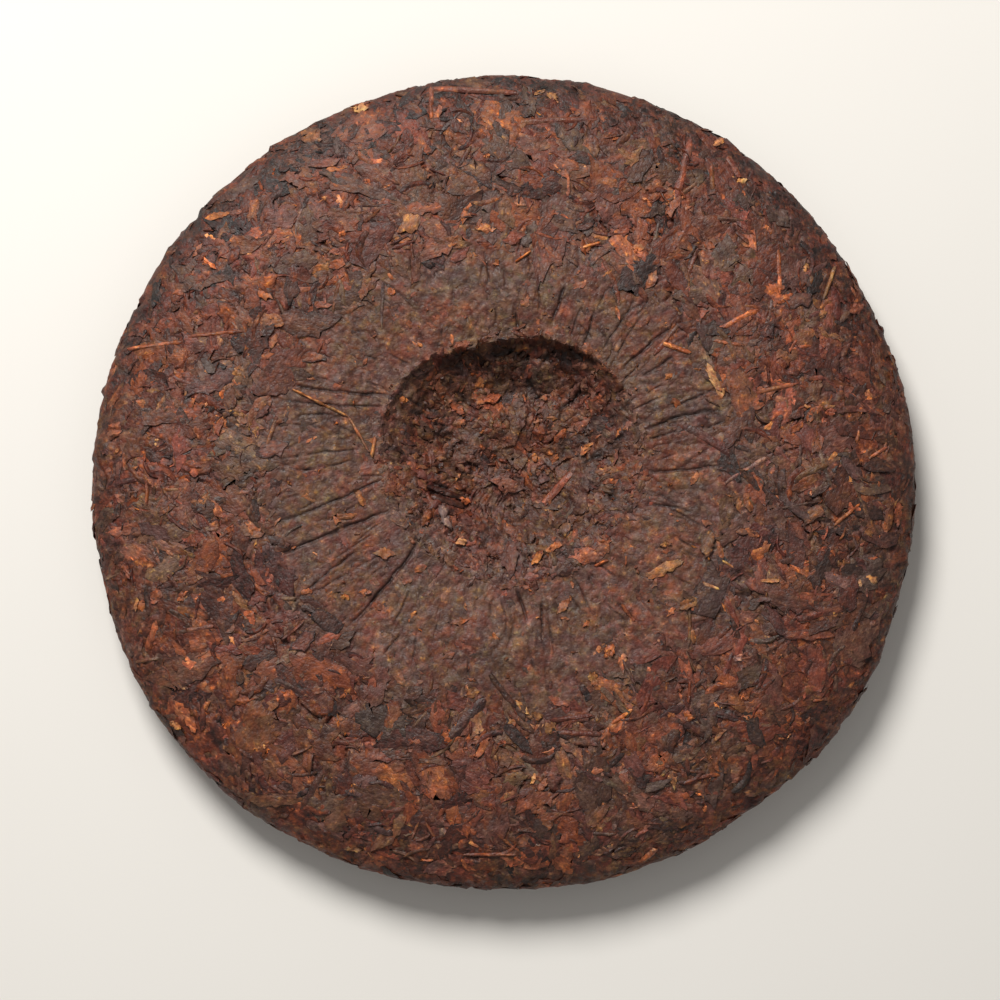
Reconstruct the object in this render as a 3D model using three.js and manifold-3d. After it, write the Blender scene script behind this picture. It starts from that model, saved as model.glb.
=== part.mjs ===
// A pressed pu erh tea cake, lying on its domed front with the knot hollow facing up.
// Millimetres, +Z up. The origin is on the table under the middle of the cake, and +Y is the side
// on which the hollow's wall is steepest.
//
// The cake is one solid: a core with the rounded rim, the domed front, the hollow that the knot of the
// pressing bag leaves and the creases that the bag's folds leave, and the leaves and stems that show
// on its skin, fused on with few sides.

import * as THREE from "three";
import { mergeVertices } from "three/addons/utils/BufferGeometryUtils.js";
import Module from "manifold-3d";

const wasm = await Module();
wasm.setup();

// The whole cake
const CAKE_RADIUS = 100;
const CAKE_MIDDLE = { x: 0, y: 0 };
const WAIST_HEIGHT = 11.5; // the widest level, above the table
const BACK_RISE = 9.6; // from the waist up to the back face
const BACK_FLATNESS = 6; // a higher number keeps the back flat closer to the rim
const FRONT_DROP = 12.4; // from the waist down to the front's crown, before the table flattens it
const FRONT_FLATNESS = 3.1;
const ROUNDING = 0.5; // both faces meet the waist in a round
const SKIN_LUMP = 0.45; // how far the skin swells and dips
const LUMP_LENGTH = 15;
const EDGE_WANDER = 0.35;
const EDGE_WANDER_RATE = 9;

// The outline swells or shrinks by a few millimetres over a stretch of the edge: degrees and millimetres
const OUTLINE_LOBES = [
  { at: 218, spread: 20, bulge: 1.4 },
  { at: 328, spread: 13, bulge: 1.6 },
  { at: 2, spread: 14, bulge: 0.5 },
  { at: 28, spread: 16, bulge: -0.3 },
  { at: 112, spread: 24, bulge: -0.8 },
  { at: 150, spread: 14, bulge: -0.6 },
  { at: 270, spread: 24, bulge: -0.7 },
];

// The hollow that the bag's knot leaves, a little off the middle
const HOLLOW = { x: 2.4, y: 5.2, mouth: 30.5, depth: 10.5 };
const MOUTH_LOBES = [
  { at: 30, spread: 18, bulge: 1.0 },
  { at: 98, spread: 24, bulge: -2.4 },
  { at: 158, spread: 26, bulge: 2.4 },
];
const MOUTH_WANDER = 0.6;
const MOUTH_WANDER_RATE = 9;
const STEEP_SIDE = THREE.MathUtils.degToRad(88); // the direction of its steepest wall
const STEEP_WALL = 11; // how far the wall takes to reach the floor there
const GENTLE_WALL = 24; // and on the opposite side
const WALL_CRISPNESS = 2; // a higher number turns the steep wall more sharply at the mouth
const WALL_BIAS = 0.8; // a higher number lets the steep wall reach further round
const LIP_STEP = 1.3; // the wall starts with a small step down at the mouth
const LIP_STEP_WIDTH = 0.9;
const FLOOR_LUMP = 1.5;
const FLOOR_LUMP_LENGTH = 7;
const LIP_SAG = 0.8; // the face dips towards the mouth
const LIP_SPREAD = 9;

// The grid of the core: rings as shares of the way from the hollow's middle to its mouth, from the mouth
// to the waist, and from the foot's edge to the waist
const SECTORS = 60;
const HOLLOW_RINGS = [0.28, 0.5, 0.68, 0.82, 0.93, 0.97, 1];
const BACK_RINGS = [0.08, 0.28, 0.47, 0.63, 0.76, 0.86, 0.93, 0.98, 1];
const FRONT_RINGS = [0.985, 0.93, 0.83, 0.7, 0.55, 0.4];

// Leaves, stems and creases
const LEAF_SINK = 1.4; // how deep a leaf's hidden underside lies
const LEAF_CROWN = 1.25; // the middle of a leaf stands this many times as proud as its edge
const LARGE_LEAF = 8; // a leaf longer than this has one more corner
const STEM_SHOULDER = 0.3; // heights of a stem's sides and top, as shares of its width
const STEM_TOP = 0.55;
const STEM_TAPER = 0.75;
const CREASE_COUNT = 18;
const CREASE_WIDTH = 0.9;
const CREASE_DEPTH = 0.75;
const CREASE_TAPER = 0.45;
const RIM_LEAF_COUNT = 24;
const RIM_SPINE = 90; // radius of a circle inside the rim that the rim's leaves lie square to
const SEED = 357;

const { cos, sin, PI, hypot, atan2, exp, min, max, floor, abs } = Math;
const TURN = 2 * PI;
const GOLDEN_ANGLE = PI * (3 - 5 ** 0.5);
const CLEAR_OF_SKIN = 8; // rays start this far off the skin
const OUTSIDE = 60; // and this far off the cake

// A repeatable random number from 0 to 1
function randomSource(seed) {
  let state = seed;
  return () => {
    state = (state + 0x6d2b79f5) | 0;
    let t = Math.imul(state ^ (state >>> 15), 1 | state);
    t = (t + Math.imul(t ^ (t >>> 7), 61 | t)) ^ t;
    return ((t ^ (t >>> 14)) >>> 0) / 4294967296;
  };
}
const random = randomSource(SEED);
const between = (low, high) => low + (high - low) * random();

const smooth = (t) => {
  const k = min(1, max(0, t));
  return k * k * (3 - 2 * k);
};
const mix = (a, b, t) => a + (b - a) * t;

// Smooth noise from -1 to 1 over the plane
function lattice(i, j) {
  const s = sin(i * 127.1 + j * 311.7 + 17.3) * 43758.5453;
  return 2 * (s - floor(s)) - 1;
}
function noise(x, y) {
  const i = floor(x);
  const j = floor(y);
  const u = smooth(x - i);
  const v = smooth(y - j);
  const low = mix(lattice(i, j), lattice(i + 1, j), u);
  const high = mix(lattice(i, j + 1), lattice(i + 1, j + 1), u);
  return mix(low, high, v);
}

// Degrees from one direction to another, the short way round
const apart = (a, b) => abs(((((a - b) % 360) + 540) % 360) - 180);

// How far the lobes push a round line out at an angle
function bulges(angle, lobes) {
  const degrees = THREE.MathUtils.radToDeg(angle);
  return lobes.reduce(
    (sum, lobe) => sum + lobe.bulge * exp(-((apart(degrees, lobe.at) / lobe.spread) ** 2)),
    0,
  );
}

function outlineRadius(angle) {
  const wander = EDGE_WANDER * noise(EDGE_WANDER_RATE * cos(angle), EDGE_WANDER_RATE * sin(angle));
  return CAKE_RADIUS + bulges(angle, OUTLINE_LOBES) + wander;
}

function hollowMouth(angle) {
  const wander = noise(MOUTH_WANDER_RATE * cos(angle), MOUTH_WANDER_RATE * sin(angle) + 4);
  return HOLLOW.mouth + bulges(angle, MOUTH_LOBES) + MOUTH_WANDER * wander;
}

// How far the hollow's floor or wall lies below the back face
function hollowDepth(x, y) {
  const away = hypot(x - HOLLOW.x, y - HOLLOW.y);
  const angle = atan2(y - HOLLOW.y, x - HOLLOW.x);
  const mouth = hollowMouth(angle);
  if (away >= mouth) return LIP_SAG * exp(-(((away - mouth) / LIP_SPREAD) ** 2));
  const gentle = ((1 - cos(angle - STEEP_SIDE)) / 2) ** WALL_BIAS;
  const t = min(1, (mouth - away) / mix(STEEP_WALL, GENTLE_WALL, gentle));
  const crisp = 1 - (1 - t) ** WALL_CRISPNESS;
  const lumps = FLOOR_LUMP * noise(x / FLOOR_LUMP_LENGTH, y / FLOOR_LUMP_LENGTH) * smooth(t * 1.5);
  const lip = LIP_SAG + LIP_STEP * smooth((mouth - away) / LIP_STEP_WIDTH) * (1 - gentle ** 3);
  return lip + (HOLLOW.depth - lip) * mix(crisp, smooth(t), gentle) + lumps;
}

const lumpsAt = (x, y) => SKIN_LUMP * noise(x / LUMP_LENGTH, y / LUMP_LENGTH);

function backHeight(x, y, share) {
  const rise = BACK_RISE * (1 - min(1, share) ** BACK_FLATNESS) ** ROUNDING;
  return WAIST_HEIGHT + rise - hollowDepth(x, y) + lumpsAt(x, y) * smooth((1 - share) * 8);
}

function frontHeight(x, y, share) {
  const drop = FRONT_DROP * (1 - min(1, share) ** FRONT_FLATNESS) ** ROUNDING;
  return max(0, WAIST_HEIGHT - drop + 0.7 * lumpsAt(x + 40, y) * smooth((1 - share) * 4));
}

// How far the edge is from the hollow's middle in one direction
function reachToEdge(direction) {
  let reach = CAKE_RADIUS;
  for (let step = 0; step < 12; step += 1) {
    const x = HOLLOW.x + reach * cos(direction);
    const y = HOLLOW.y + reach * sin(direction);
    reach += outlineRadius(atan2(y, x)) - hypot(x, y);
  }
  return reach;
}

// The core's rings of points, from the middle of the hollow over the rim to the foot
function coreRings() {
  const directions = Array.from({ length: SECTORS }, (_, k) => (TURN * k) / SECTORS);
  const onBack = (direction, away) => {
    const x = HOLLOW.x + away * cos(direction);
    const y = HOLLOW.y + away * sin(direction);
    return [x, y, backHeight(x, y, hypot(x, y) / outlineRadius(atan2(y, x)))];
  };
  const hollow = HOLLOW_RINGS.map((share) => directions.map((d) => onBack(d, share * hollowMouth(d))));
  const back = BACK_RINGS.map((share) =>
    directions.map((d) => onBack(d, mix(hollowMouth(d), reachToEdge(d), share))),
  );
  const waist = back[back.length - 1];
  const front = FRONT_RINGS.map((share) =>
    waist.map(([x, y]) => [x * share, y * share, frontHeight(x * share, y * share, share)]),
  );
  front[front.length - 1].forEach((point) => (point[2] = 0));
  return [...hollow, ...back, ...front];
}

function coreGeometry() {
  const rings = coreRings();
  const top = [HOLLOW.x, HOLLOW.y, backHeight(HOLLOW.x, HOLLOW.y, 0)];
  const points = [top, ...rings.flat(), [0, 0, 0]];
  const at = (ring, sector) => 1 + ring * SECTORS + (sector % SECTORS);
  const faces = [];
  for (let k = 0; k < SECTORS; k += 1) {
    faces.push([0, at(0, k), at(0, k + 1)]);
    faces.push([points.length - 1, at(rings.length - 1, k + 1), at(rings.length - 1, k)]);
    for (let ring = 0; ring < rings.length - 1; ring += 1) {
      faces.push([at(ring, k), at(ring + 1, k), at(ring + 1, k + 1)]);
      faces.push([at(ring, k), at(ring + 1, k + 1), at(ring, k + 1)]);
    }
  }
  return geometryOf(points, faces);
}

function geometryOf(points, faces) {
  const geometry = new THREE.BufferGeometry();
  geometry.setAttribute("position", new THREE.Float32BufferAttribute(points.flat(), 3));
  geometry.setIndex(faces.flat());
  return geometry;
}

function solidOf(geometry) {
  const bare = geometry.clone();
  bare.deleteAttribute("normal");
  bare.deleteAttribute("uv");
  const merged = mergeVertices(bare, 1e-4);
  return new wasm.Manifold(
    new wasm.Mesh({
      numProp: 3,
      vertProperties: new Float32Array(merged.attributes.position.array),
      triVerts: new Uint32Array(merged.index.array),
    }),
  );
}

// Where a ray meets the core
const core = new THREE.Mesh(coreGeometry(), new THREE.MeshBasicMaterial({ side: THREE.DoubleSide }));
const caster = new THREE.Raycaster();
function meet(from, towards) {
  caster.set(from, towards);
  return caster.intersectObject(core)[0];
}

// A footing on the skin: its middle, its outward direction and the two directions along the skin
function footing(middle, out, turn) {
  const side = new THREE.Vector3(0, 0, 1).cross(out);
  const level = side.length() < 1e-6;
  const along = (level ? side.set(1, 0, 0) : side.normalize()).applyAxisAngle(out, turn);
  return { middle, out, along, across: out.clone().cross(along) };
}
const onBackFace = (x, y, turn) => {
  const hit = meet(new THREE.Vector3(x, y, OUTSIDE), new THREE.Vector3(0, 0, -1));
  return footing(hit.point, hit.face.normal.clone(), turn);
};
const onFrontFace = (x, y, turn) => {
  const hit = meet(new THREE.Vector3(x, y, -OUTSIDE), new THREE.Vector3(0, 0, 1));
  return footing(hit.point, hit.face.normal.clone(), turn);
};
const onRim = (angle, tilt, turn) => {
  const out = new THREE.Vector3(cos(tilt) * cos(angle), cos(tilt) * sin(angle), sin(tilt));
  const spine = new THREE.Vector3(RIM_SPINE * cos(angle), RIM_SPINE * sin(angle), WAIST_HEIGHT);
  const hit = meet(spine.addScaledVector(out, OUTSIDE), out.clone().negate());
  return footing(hit.point, out, turn);
};

// The point of the skin beside a footing, raised or sunk along the outward direction
function beside(foot, u, v, raise) {
  const point = foot.middle.clone().addScaledVector(foot.along, u).addScaledVector(foot.across, v);
  const hit = meet(point.clone().addScaledVector(foot.out, CLEAR_OF_SKIN), foot.out.clone().negate());
  const skin = hit && hit.distance < 2 * CLEAR_OF_SKIN ? hit.point : point;
  return skin.clone().addScaledVector(foot.out, raise).toArray();
}

// A flat torn leaf: an uneven outline, its middle a little proud of its edge
function leaf(foot, length, width, thick) {
  const corners = length > LARGE_LEAF ? 7 : 6;
  const lean = between(-0.3, 0.3);
  const ring = Array.from({ length: corners }, (_, k) => {
    const angle = (TURN * (k + between(-0.25, 0.25))) / corners;
    const reach = between(0.78, 1.12);
    return [(length / 2) * reach * cos(angle), (width / 2) * reach * sin(angle)];
  });
  const points = [
    beside(foot, 0, 0, thick * LEAF_CROWN),
    ...ring.map(([u, v]) => beside(foot, u, v, thick * (1 + (lean * u) / length))),
    ...ring.map(([u, v]) => beside(foot, u, v, -LEAF_SINK)),
    beside(foot, 0, 0, -LEAF_SINK),
  ];
  const faces = [];
  for (let k = 0; k < corners; k += 1) {
    const next = (k + 1) % corners;
    faces.push([0, 1 + k, 1 + next]);
    faces.push([1 + k, 1 + corners + k, 1 + corners + next]);
    faces.push([1 + k, 1 + corners + next, 1 + next]);
    faces.push([points.length - 1, 1 + corners + next, 1 + corners + k]);
  }
  return solidOf(geometryOf(points, faces));
}

// A bar laid along the skin, with one section for each station: [place along, bend sideways, scale]
function bar(foot, stations, section) {
  const points = stations.flatMap(([u, bend, scale]) =>
    section.map(([v, raise]) => beside(foot, u, bend + v * scale, raise > 0 ? raise * scale : raise)),
  );
  const sides = section.length;
  const faces = [];
  for (let s = 0; s < stations.length - 1; s += 1) {
    for (let k = 0; k < sides; k += 1) {
      const a = s * sides + k;
      const b = s * sides + ((k + 1) % sides);
      faces.push([a, b, b + sides], [a, b + sides, a + sides]);
    }
  }
  const last = (stations.length - 1) * sides;
  for (let k = 1; k < sides - 1; k += 1) {
    faces.push([0, k + 1, k], [last, last + k, last + k + 1]);
  }
  return solidOf(geometryOf(points, faces));
}

function stem(foot, length, width) {
  const half = width / 2;
  const section = [
    [-half, -LEAF_SINK],
    [half, -LEAF_SINK],
    [half, STEM_SHOULDER * width],
    [0, STEM_TOP * width],
    [-half, STEM_SHOULDER * width],
  ];
  const bend = between(-0.09, 0.09) * length;
  const stations = [
    [-length / 2, 0, STEM_TAPER],
    [0, bend, 1],
    [length / 2, 0, STEM_TAPER],
  ];
  return bar(foot, stations, section);
}

// The cutter of a crease that a fold of the bag leaves, running outwards from near the hollow's mouth
function creaseCutter(direction, start, length, swing) {
  const [x, y] = polar(direction, start + length / 2, HOLLOW);
  const foot = footing(onBackFace(x, y, 0).middle, new THREE.Vector3(0, 0, 1), direction);
  const section = [
    [0, -CREASE_DEPTH],
    [CREASE_WIDTH / 2, CREASE_DEPTH],
    [-CREASE_WIDTH / 2, CREASE_DEPTH],
  ];
  const stations = [
    [-length / 2, 0, CREASE_TAPER],
    [-length / 6, swing, 1],
    [length / 6, swing, 1],
    [length / 2, 0, CREASE_TAPER],
  ];
  return bar(foot, stations, section);
}

const polar = (angle, away, middle) => [middle.x + away * cos(angle), middle.y + away * sin(angle)];

// Pieces spread evenly over a ring of the face by the golden angle, each moved a little at random
function spread(count, inner, outer, place) {
  return Array.from({ length: count }, (_, k) => {
    const share = (k + between(0.1, 0.9)) / count;
    const away = (inner ** 2 + (outer ** 2 - inner ** 2) * share) ** 0.5;
    return place(k * GOLDEN_ANGLE + between(-0.2, 0.2), away);
  });
}

function outerLeaves() {
  return spread(44, 60, 92, (angle, away) => {
    const [x, y] = polar(angle, away, CAKE_MIDDLE);
    const foot = onBackFace(x, y, between(0, TURN));
    const length = between(8, 15);
    return leaf(foot, length, length * between(0.42, 0.75), between(0.35, 0.75));
  });
}

function innerLeaves() {
  return spread(12, 38, 60, (angle, away) => {
    const [x, y] = polar(angle, away, HOLLOW);
    const foot = onBackFace(x, y, angle + between(-0.6, 0.6));
    const length = between(5, 9);
    return leaf(foot, length, length * 0.5, between(0.25, 0.45));
  });
}

function hollowPieces() {
  return spread(18, 3, 26, (angle, away) => {
    const [x, y] = polar(angle, away, HOLLOW);
    const foot = onBackFace(x, y, between(0, TURN));
    const length = between(5, 10);
    if (random() < 0.45) return stem(foot, length * 1.2, between(1.2, 1.9));
    return leaf(foot, length, length * between(0.4, 0.7), between(0.7, 1.3));
  });
}

function backStems() {
  return spread(18, 52, 92, (angle, away) => {
    const [x, y] = polar(angle, away, CAKE_MIDDLE);
    return stem(onBackFace(x, y, between(0, TURN)), between(9, 18), between(1.1, 1.9));
  });
}

function rimLeaves() {
  return Array.from({ length: RIM_LEAF_COUNT }, (_, k) => {
    const angle = (TURN * (k + between(-0.3, 0.3))) / RIM_LEAF_COUNT;
    const foot = onRim(angle, between(-0.7, 0.9), between(-0.3, 0.3));
    const length = between(9, 16);
    return leaf(foot, length, length * 0.38, between(0.3, 0.5));
  });
}

function frontLeaves() {
  return spread(16, 52, 92, (angle, away) => {
    const [x, y] = polar(angle, away, CAKE_MIDDLE);
    const foot = onFrontFace(x, y, between(0, TURN));
    const length = between(9, 17);
    return leaf(foot, length, length * between(0.42, 0.7), between(0.3, 0.6));
  });
}

function creaseCutters() {
  return Array.from({ length: CREASE_COUNT }, (_, k) => {
    const direction = (TURN * (k + between(-0.35, 0.35))) / CREASE_COUNT;
    const start = hollowMouth(direction) + between(-1, 7);
    return creaseCutter(direction, start, between(14, 32), between(-1.6, 1.6));
  });
}

// What would hang below the table, cut away so that the cake has a flat foot
function belowTable() {
  const deep = 20;
  const slab = new THREE.BoxGeometry(3 * CAKE_RADIUS, 3 * CAKE_RADIUS, deep);
  slab.translate(0, 0, -deep / 2);
  return solidOf(slab);
}

function cakeGeometry() {
  const fused = [
    ...outerLeaves(),
    ...innerLeaves(),
    ...backStems(),
    ...hollowPieces(),
    ...rimLeaves(),
    ...frontLeaves(),
  ].reduce((whole, piece) => whole.add(piece), solidOf(core.geometry));
  const creased = creaseCutters().reduce((whole, cutter) => whole.subtract(cutter), fused);
  // The largest shell alone, so that sealed gaps between leaves are filled and loose scraps dropped
  const shells = creased.subtract(belowTable()).decompose();
  const mesh = shells.reduce((a, b) => (b.volume() > a.volume() ? b : a)).getMesh();
  const geometry = new THREE.BufferGeometry();
  geometry.setAttribute("position", new THREE.Float32BufferAttribute(mesh.vertProperties, 3));
  geometry.setIndex(new THREE.Uint32BufferAttribute(mesh.triVerts, 1));
  geometry.computeVertexNormals();
  return geometry;
}

const teaCake = new THREE.Mesh(
  cakeGeometry(),
  new THREE.MeshStandardMaterial({ color: 0x4d352b, roughness: 0.8, metalness: 0 }),
);
teaCake.name = "tea_cake";

const group = new THREE.Group();
group.add(teaCake);

export default group;
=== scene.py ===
# The looks of a pressed pu erh tea cake, lying on its domed front with the knot hollow facing up.
#
# The cake is a core with the hollow, the creases and the rounded rim, and on it lie the leaves that
# show: fine ones round the hollow, larger ones further out, crumbled ones in the hollow, leaves
# along the edge and under the cake, rolled shreds, stems and bright golden bits. Every leaf is a
# thin closed shell laid on the core's skin.
# Shapes are worked out in millimetres and turned into metres when a mesh is made.
from math import cos, pi, radians, sin

import bpy
import numpy as np
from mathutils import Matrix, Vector


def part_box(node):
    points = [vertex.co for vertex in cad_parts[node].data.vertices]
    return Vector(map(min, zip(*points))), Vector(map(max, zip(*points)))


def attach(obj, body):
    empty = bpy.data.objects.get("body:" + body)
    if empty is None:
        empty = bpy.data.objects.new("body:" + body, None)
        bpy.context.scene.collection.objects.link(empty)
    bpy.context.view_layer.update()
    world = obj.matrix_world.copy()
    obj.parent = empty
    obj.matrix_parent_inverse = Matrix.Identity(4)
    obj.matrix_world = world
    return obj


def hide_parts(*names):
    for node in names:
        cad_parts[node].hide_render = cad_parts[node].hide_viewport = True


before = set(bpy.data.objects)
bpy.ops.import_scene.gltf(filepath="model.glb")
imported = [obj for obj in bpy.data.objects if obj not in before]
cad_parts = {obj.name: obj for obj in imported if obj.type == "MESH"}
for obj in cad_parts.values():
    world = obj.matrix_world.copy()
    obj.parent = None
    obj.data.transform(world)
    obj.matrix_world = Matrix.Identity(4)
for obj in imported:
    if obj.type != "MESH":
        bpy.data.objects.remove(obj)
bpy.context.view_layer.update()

# The cake, from the frame's box
MM = 0.001
LOW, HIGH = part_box("tea_cake")
LEAF_PROUD = 0.3  # the leaves stand this much outside the core
CAKE_RADIUS = (HIGH.x - LOW.x) / MM / 2 - LEAF_PROUD
THICKNESS = (HIGH.z - LOW.z) / MM - 2 * LEAF_PROUD
WAIST_HEIGHT = 0.54 * THICKNESS  # the widest level, above the table
BACK_RISE = 0.45 * THICKNESS
FRONT_DROP = 0.582 * THICKNESS  # before the table flattens the crown
BACK_FLATNESS = 6  # the higher, the flatter the middle and the tighter the rim
FRONT_FLATNESS = 3.1

# The outline swells or shrinks over a stretch of the edge: degrees, degrees and millimetres
OUTLINE_LOBES = [
    (218, 20, 1.4),
    (328, 13, 1.6),
    (2, 14, 0.5),
    (28, 16, -0.3),
    (112, 24, -0.8),
    (150, 14, -0.6),
    (270, 24, -0.7),
]

# The hollow that the bag's knot leaves
HOLLOW_X = 2.4
HOLLOW_Y = 5.2
HOLLOW_MOUTH = 30.5
MOUTH_LOBES = [
    (30, 18, 1.0),
    (98, 24, -2.4),
    (158, 26, 2.4),
]
MOUTH_WAVES = [(0.6, 9, 4), (0.5, 21, 9), (0.22, 38, 2)]  # height, rate and shift of the ragged edge
HOLLOW_DEPTH = 10.5
HOLLOW_LUMPS = 1.5
STEEP_SIDE = radians(88)
STEEP_WALL = 11.5  # how wide the wall is where it is steepest
GENTLE_WALL = 24  # and where it is gentlest
LIP_STEP = 1.0  # the drop right inside the lip, on the steep side
LIP_STEP_WIDTH = 1.1
LIP_SAG = 0.8  # how far the skin sinks towards the lip
LIP_SPREAD = 9

SEED = 357
random = np.random.default_rng(SEED)


# Noise and blends

def smooth(t):
    t = np.clip(t, 0, 1)
    return t * t * (3 - 2 * t)


def mix(a, b, t):
    return a + (b - a) * t


def lattice(i, j):
    """A value from -1 to 1 of its own for each pair of whole numbers."""
    s = np.sin(i * 127.1 + j * 311.7 + 17.3) * 43758.5453
    return 2 * (s - np.floor(s)) - 1


def noise(x, y):
    """Smooth noise from -1 to 1 over the plane."""
    i, j = np.floor(x), np.floor(y)
    u, v = smooth(x - i), smooth(y - j)
    low = mix(lattice(i, j), lattice(i + 1, j), u)
    high = mix(lattice(i, j + 1), lattice(i + 1, j + 1), u)
    return mix(low, high, v)


def between(low, high, *shape):
    """Values drawn evenly between two limits."""
    return low + (high - low) * random.random(shape)


# The form of the core, the same as the solid's

def bulges(angle, lobes):
    """How far the lobes push a round line out at an angle."""
    out = 0 * angle
    for at, spread, bulge in lobes:
        apart = np.abs((np.degrees(angle) - at + 540) % 360 - 180)
        out = out + bulge * np.exp(-((apart / spread) ** 2))
    return out


def outline_radius(angle):
    return CAKE_RADIUS + 0.35 * noise(9 * np.cos(angle), 9 * np.sin(angle)) + bulges(angle, OUTLINE_LOBES)


def hollow_mouth(angle):
    """The radius of the hollow's ragged mouth at an angle."""
    radius = HOLLOW_MOUTH + bulges(angle, MOUTH_LOBES)
    for height, rate, shift in MOUTH_WAVES:
        radius = radius + height * noise(rate * np.cos(angle), rate * np.sin(angle) + shift)
    return radius


def from_hollow(x, y):
    """How far a point is from the hollow's middle, and in which direction."""
    return np.hypot(x - HOLLOW_X, y - HOLLOW_Y), np.arctan2(y - HOLLOW_Y, x - HOLLOW_X)


def behind(angle):
    """From 0 to 1 towards the side of the hollow's lip above its steepest wall, where the lip is torn and
    painted with shadow.
    """
    return smooth((np.cos(angle - STEEP_SIDE) - 0.3) / 0.5)


def hollow_depth(x, y):
    """How far the skin lies below the crown, in the hollow and where it sags towards the lip."""
    away, angle = from_hollow(x, y)
    mouth = hollow_mouth(angle)
    outside = LIP_SAG * np.exp(-((np.maximum(away - mouth, 0) / LIP_SPREAD) ** 2))
    gentle = ((1 - np.cos(angle - STEEP_SIDE)) / 2) ** 0.6
    t = np.clip((mouth - away) / mix(STEEP_WALL, GENTLE_WALL, gentle), 0, 1)
    crisp = 1 - (1 - t) ** 2
    lumps = HOLLOW_LUMPS * noise(x / 7, y / 7) * smooth(t * 1.5)
    step = LIP_STEP * (1 - gentle**3) * mix(0.15, 1, behind(angle))
    lip = LIP_SAG + step * smooth((mouth - away) / LIP_STEP_WIDTH)
    inside = lip + (HOLLOW_DEPTH - lip) * mix(crisp, smooth(t), gentle) + lumps
    return np.where(away >= mouth, outside, inside)


def lumps_at(x, y):
    return 0.45 * noise(x / 15, y / 15)


def share_of(x, y):
    """How far out a point is, as a share of the way to the outline."""
    return np.minimum(np.hypot(x, y) / outline_radius(np.arctan2(y, x)), 1)


def back_height(x, y, share):
    rise = BACK_RISE * np.sqrt(1 - share**BACK_FLATNESS)
    return WAIST_HEIGHT + rise - hollow_depth(x, y) + lumps_at(x, y) * smooth((1 - share) * 8)


def front_height(x, y, share):
    drop = FRONT_DROP * np.sqrt(1 - share**FRONT_FLATNESS)
    lumps = 0.7 * lumps_at(x + 40, y) * smooth((1 - share) * 4)
    return np.maximum(0, WAIST_HEIGHT - drop + lumps)


# Creases that the folds of the pressing bag leave, in millimetres: from x, y to x, y, how far the
# middle bends sideways, width, depth
CREASES = [
    (-26.1, 20.0, -57.6, 23.9, 1.0, 0.7, 0.5),
    (-29.0, 17.1, -58.5, 19.5, 0.8, 0.5, 0.35),
    (-35.1, 6.6, -57.1, 3.4, -0.6, 0.45, 0.3),
    (-29.0, -0.5, -58.0, -12.4, 0.6, 0.6, 0.45),
    (-26.1, -7.6, -72.4, -27.8, -0.8, 0.75, 0.6),
    (-19.8, -15.0, -40.2, -38.8, 0.9, 0.7, 0.6),
    (-34.9, -17.6, -53.2, -33.5, -0.6, 0.5, 0.35),
    (-24.6, -37.8, -29.4, -43.4, 0.2, 0.5, 0.4),
    (29.3, 26.3, 46.1, 39.8, 0.8, 0.75, 0.55),
    (33.7, 24.6, 43.2, 30.8, -0.3, 0.55, 0.4),
    (26.6, 28.0, 37.0, 43.0, 0.6, 0.45, 0.3),
    (23.0, 29.5, 34.4, 48.5, -0.6, 0.45, 0.3),
    (34.0, 11.2, 56.6, 16.3, 1.3, 0.75, 0.5),
    (34.4, 8.9, 50.0, 12.2, 0.5, 0.45, 0.3),
    (34.6, 1.3, 56.6, 3.4, -0.4, 0.7, 0.45),
    (35.0, -6.5, 47.0, -9.0, 0.6, 0.6, 0.35),
    (3.0, -27.3, 5.9, -36.1, 0.4, 0.7, 0.5),
    (9.5, -29.0, 10.0, -43.4, -0.3, 0.5, 0.35),
    (14.9, 46.6, 10.7, 35.9, 0.5, 0.7, 0.5),
    (2.9, 40.0, 3.7, 35.1, 0.0, 0.6, 0.4),
    (-4.1, 52.9, -3.4, 45.9, 0.3, 0.5, 0.3),
    (18.0, 37.1, 22.2, 32.9, 0.3, 0.6, 0.4),
    # inside the hollow
    (5.1, 28.3, 10.0, 18.5, -0.8, 1.1, 0.8),
    (23.4, 17.1, 17.3, 9.3, 0.5, 0.9, 0.7),
    (29.5, 11.0, 18.8, 4.6, 0.7, 0.9, 0.6),
    (27.0, 6.3, 15.5, 2.4, -0.4, 0.7, 0.5),
    (20.0, 22.5, 11.0, 15.0, 0.4, 0.8, 0.5),
    (-25.0, 17.5, -17.5, 14.0, 0.3, 1.0, 0.6),
    (-19.0, -1.0, -11.7, -3.6, 0.3, 1.2, 1.0),
    (-18.5, -2.9, -12.0, -5.8, 0.3, 1.0, 1.0),
]
FAINT_CREASE_COUNT = 84
FAINT_CREASE_WIDTH = 0.45
FAINT_CREASE_DEPTH = 0.26
PLEAT_COUNT = 30
PLEAT_WIDTH = 0.6
PLEAT_DEPTH = 0.5
CREASE_SHARPNESS = 0.55  # how wide a crease's floor is, as a share of its width


def fine_creases(count, nearest, furthest, shortest, longest, width, depth):
    """Short fine creases that run roughly outwards, spread round the hollow's middle."""
    creases = []
    for k in range(count):
        direction = 2 * pi * (k + between(-0.4, 0.4)) / count
        start = between(nearest, furthest)
        length = between(shortest, longest)
        swing = direction + between(-0.35, 0.35)
        x = HOLLOW_X + start * cos(direction)
        y = HOLLOW_Y + start * sin(direction)
        creases.append((
            x, y, x + length * cos(swing), y + length * sin(swing),
            between(-0.7, 0.7), width, depth * between(0.6, 1.3),
        ))
    return creases


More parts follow.
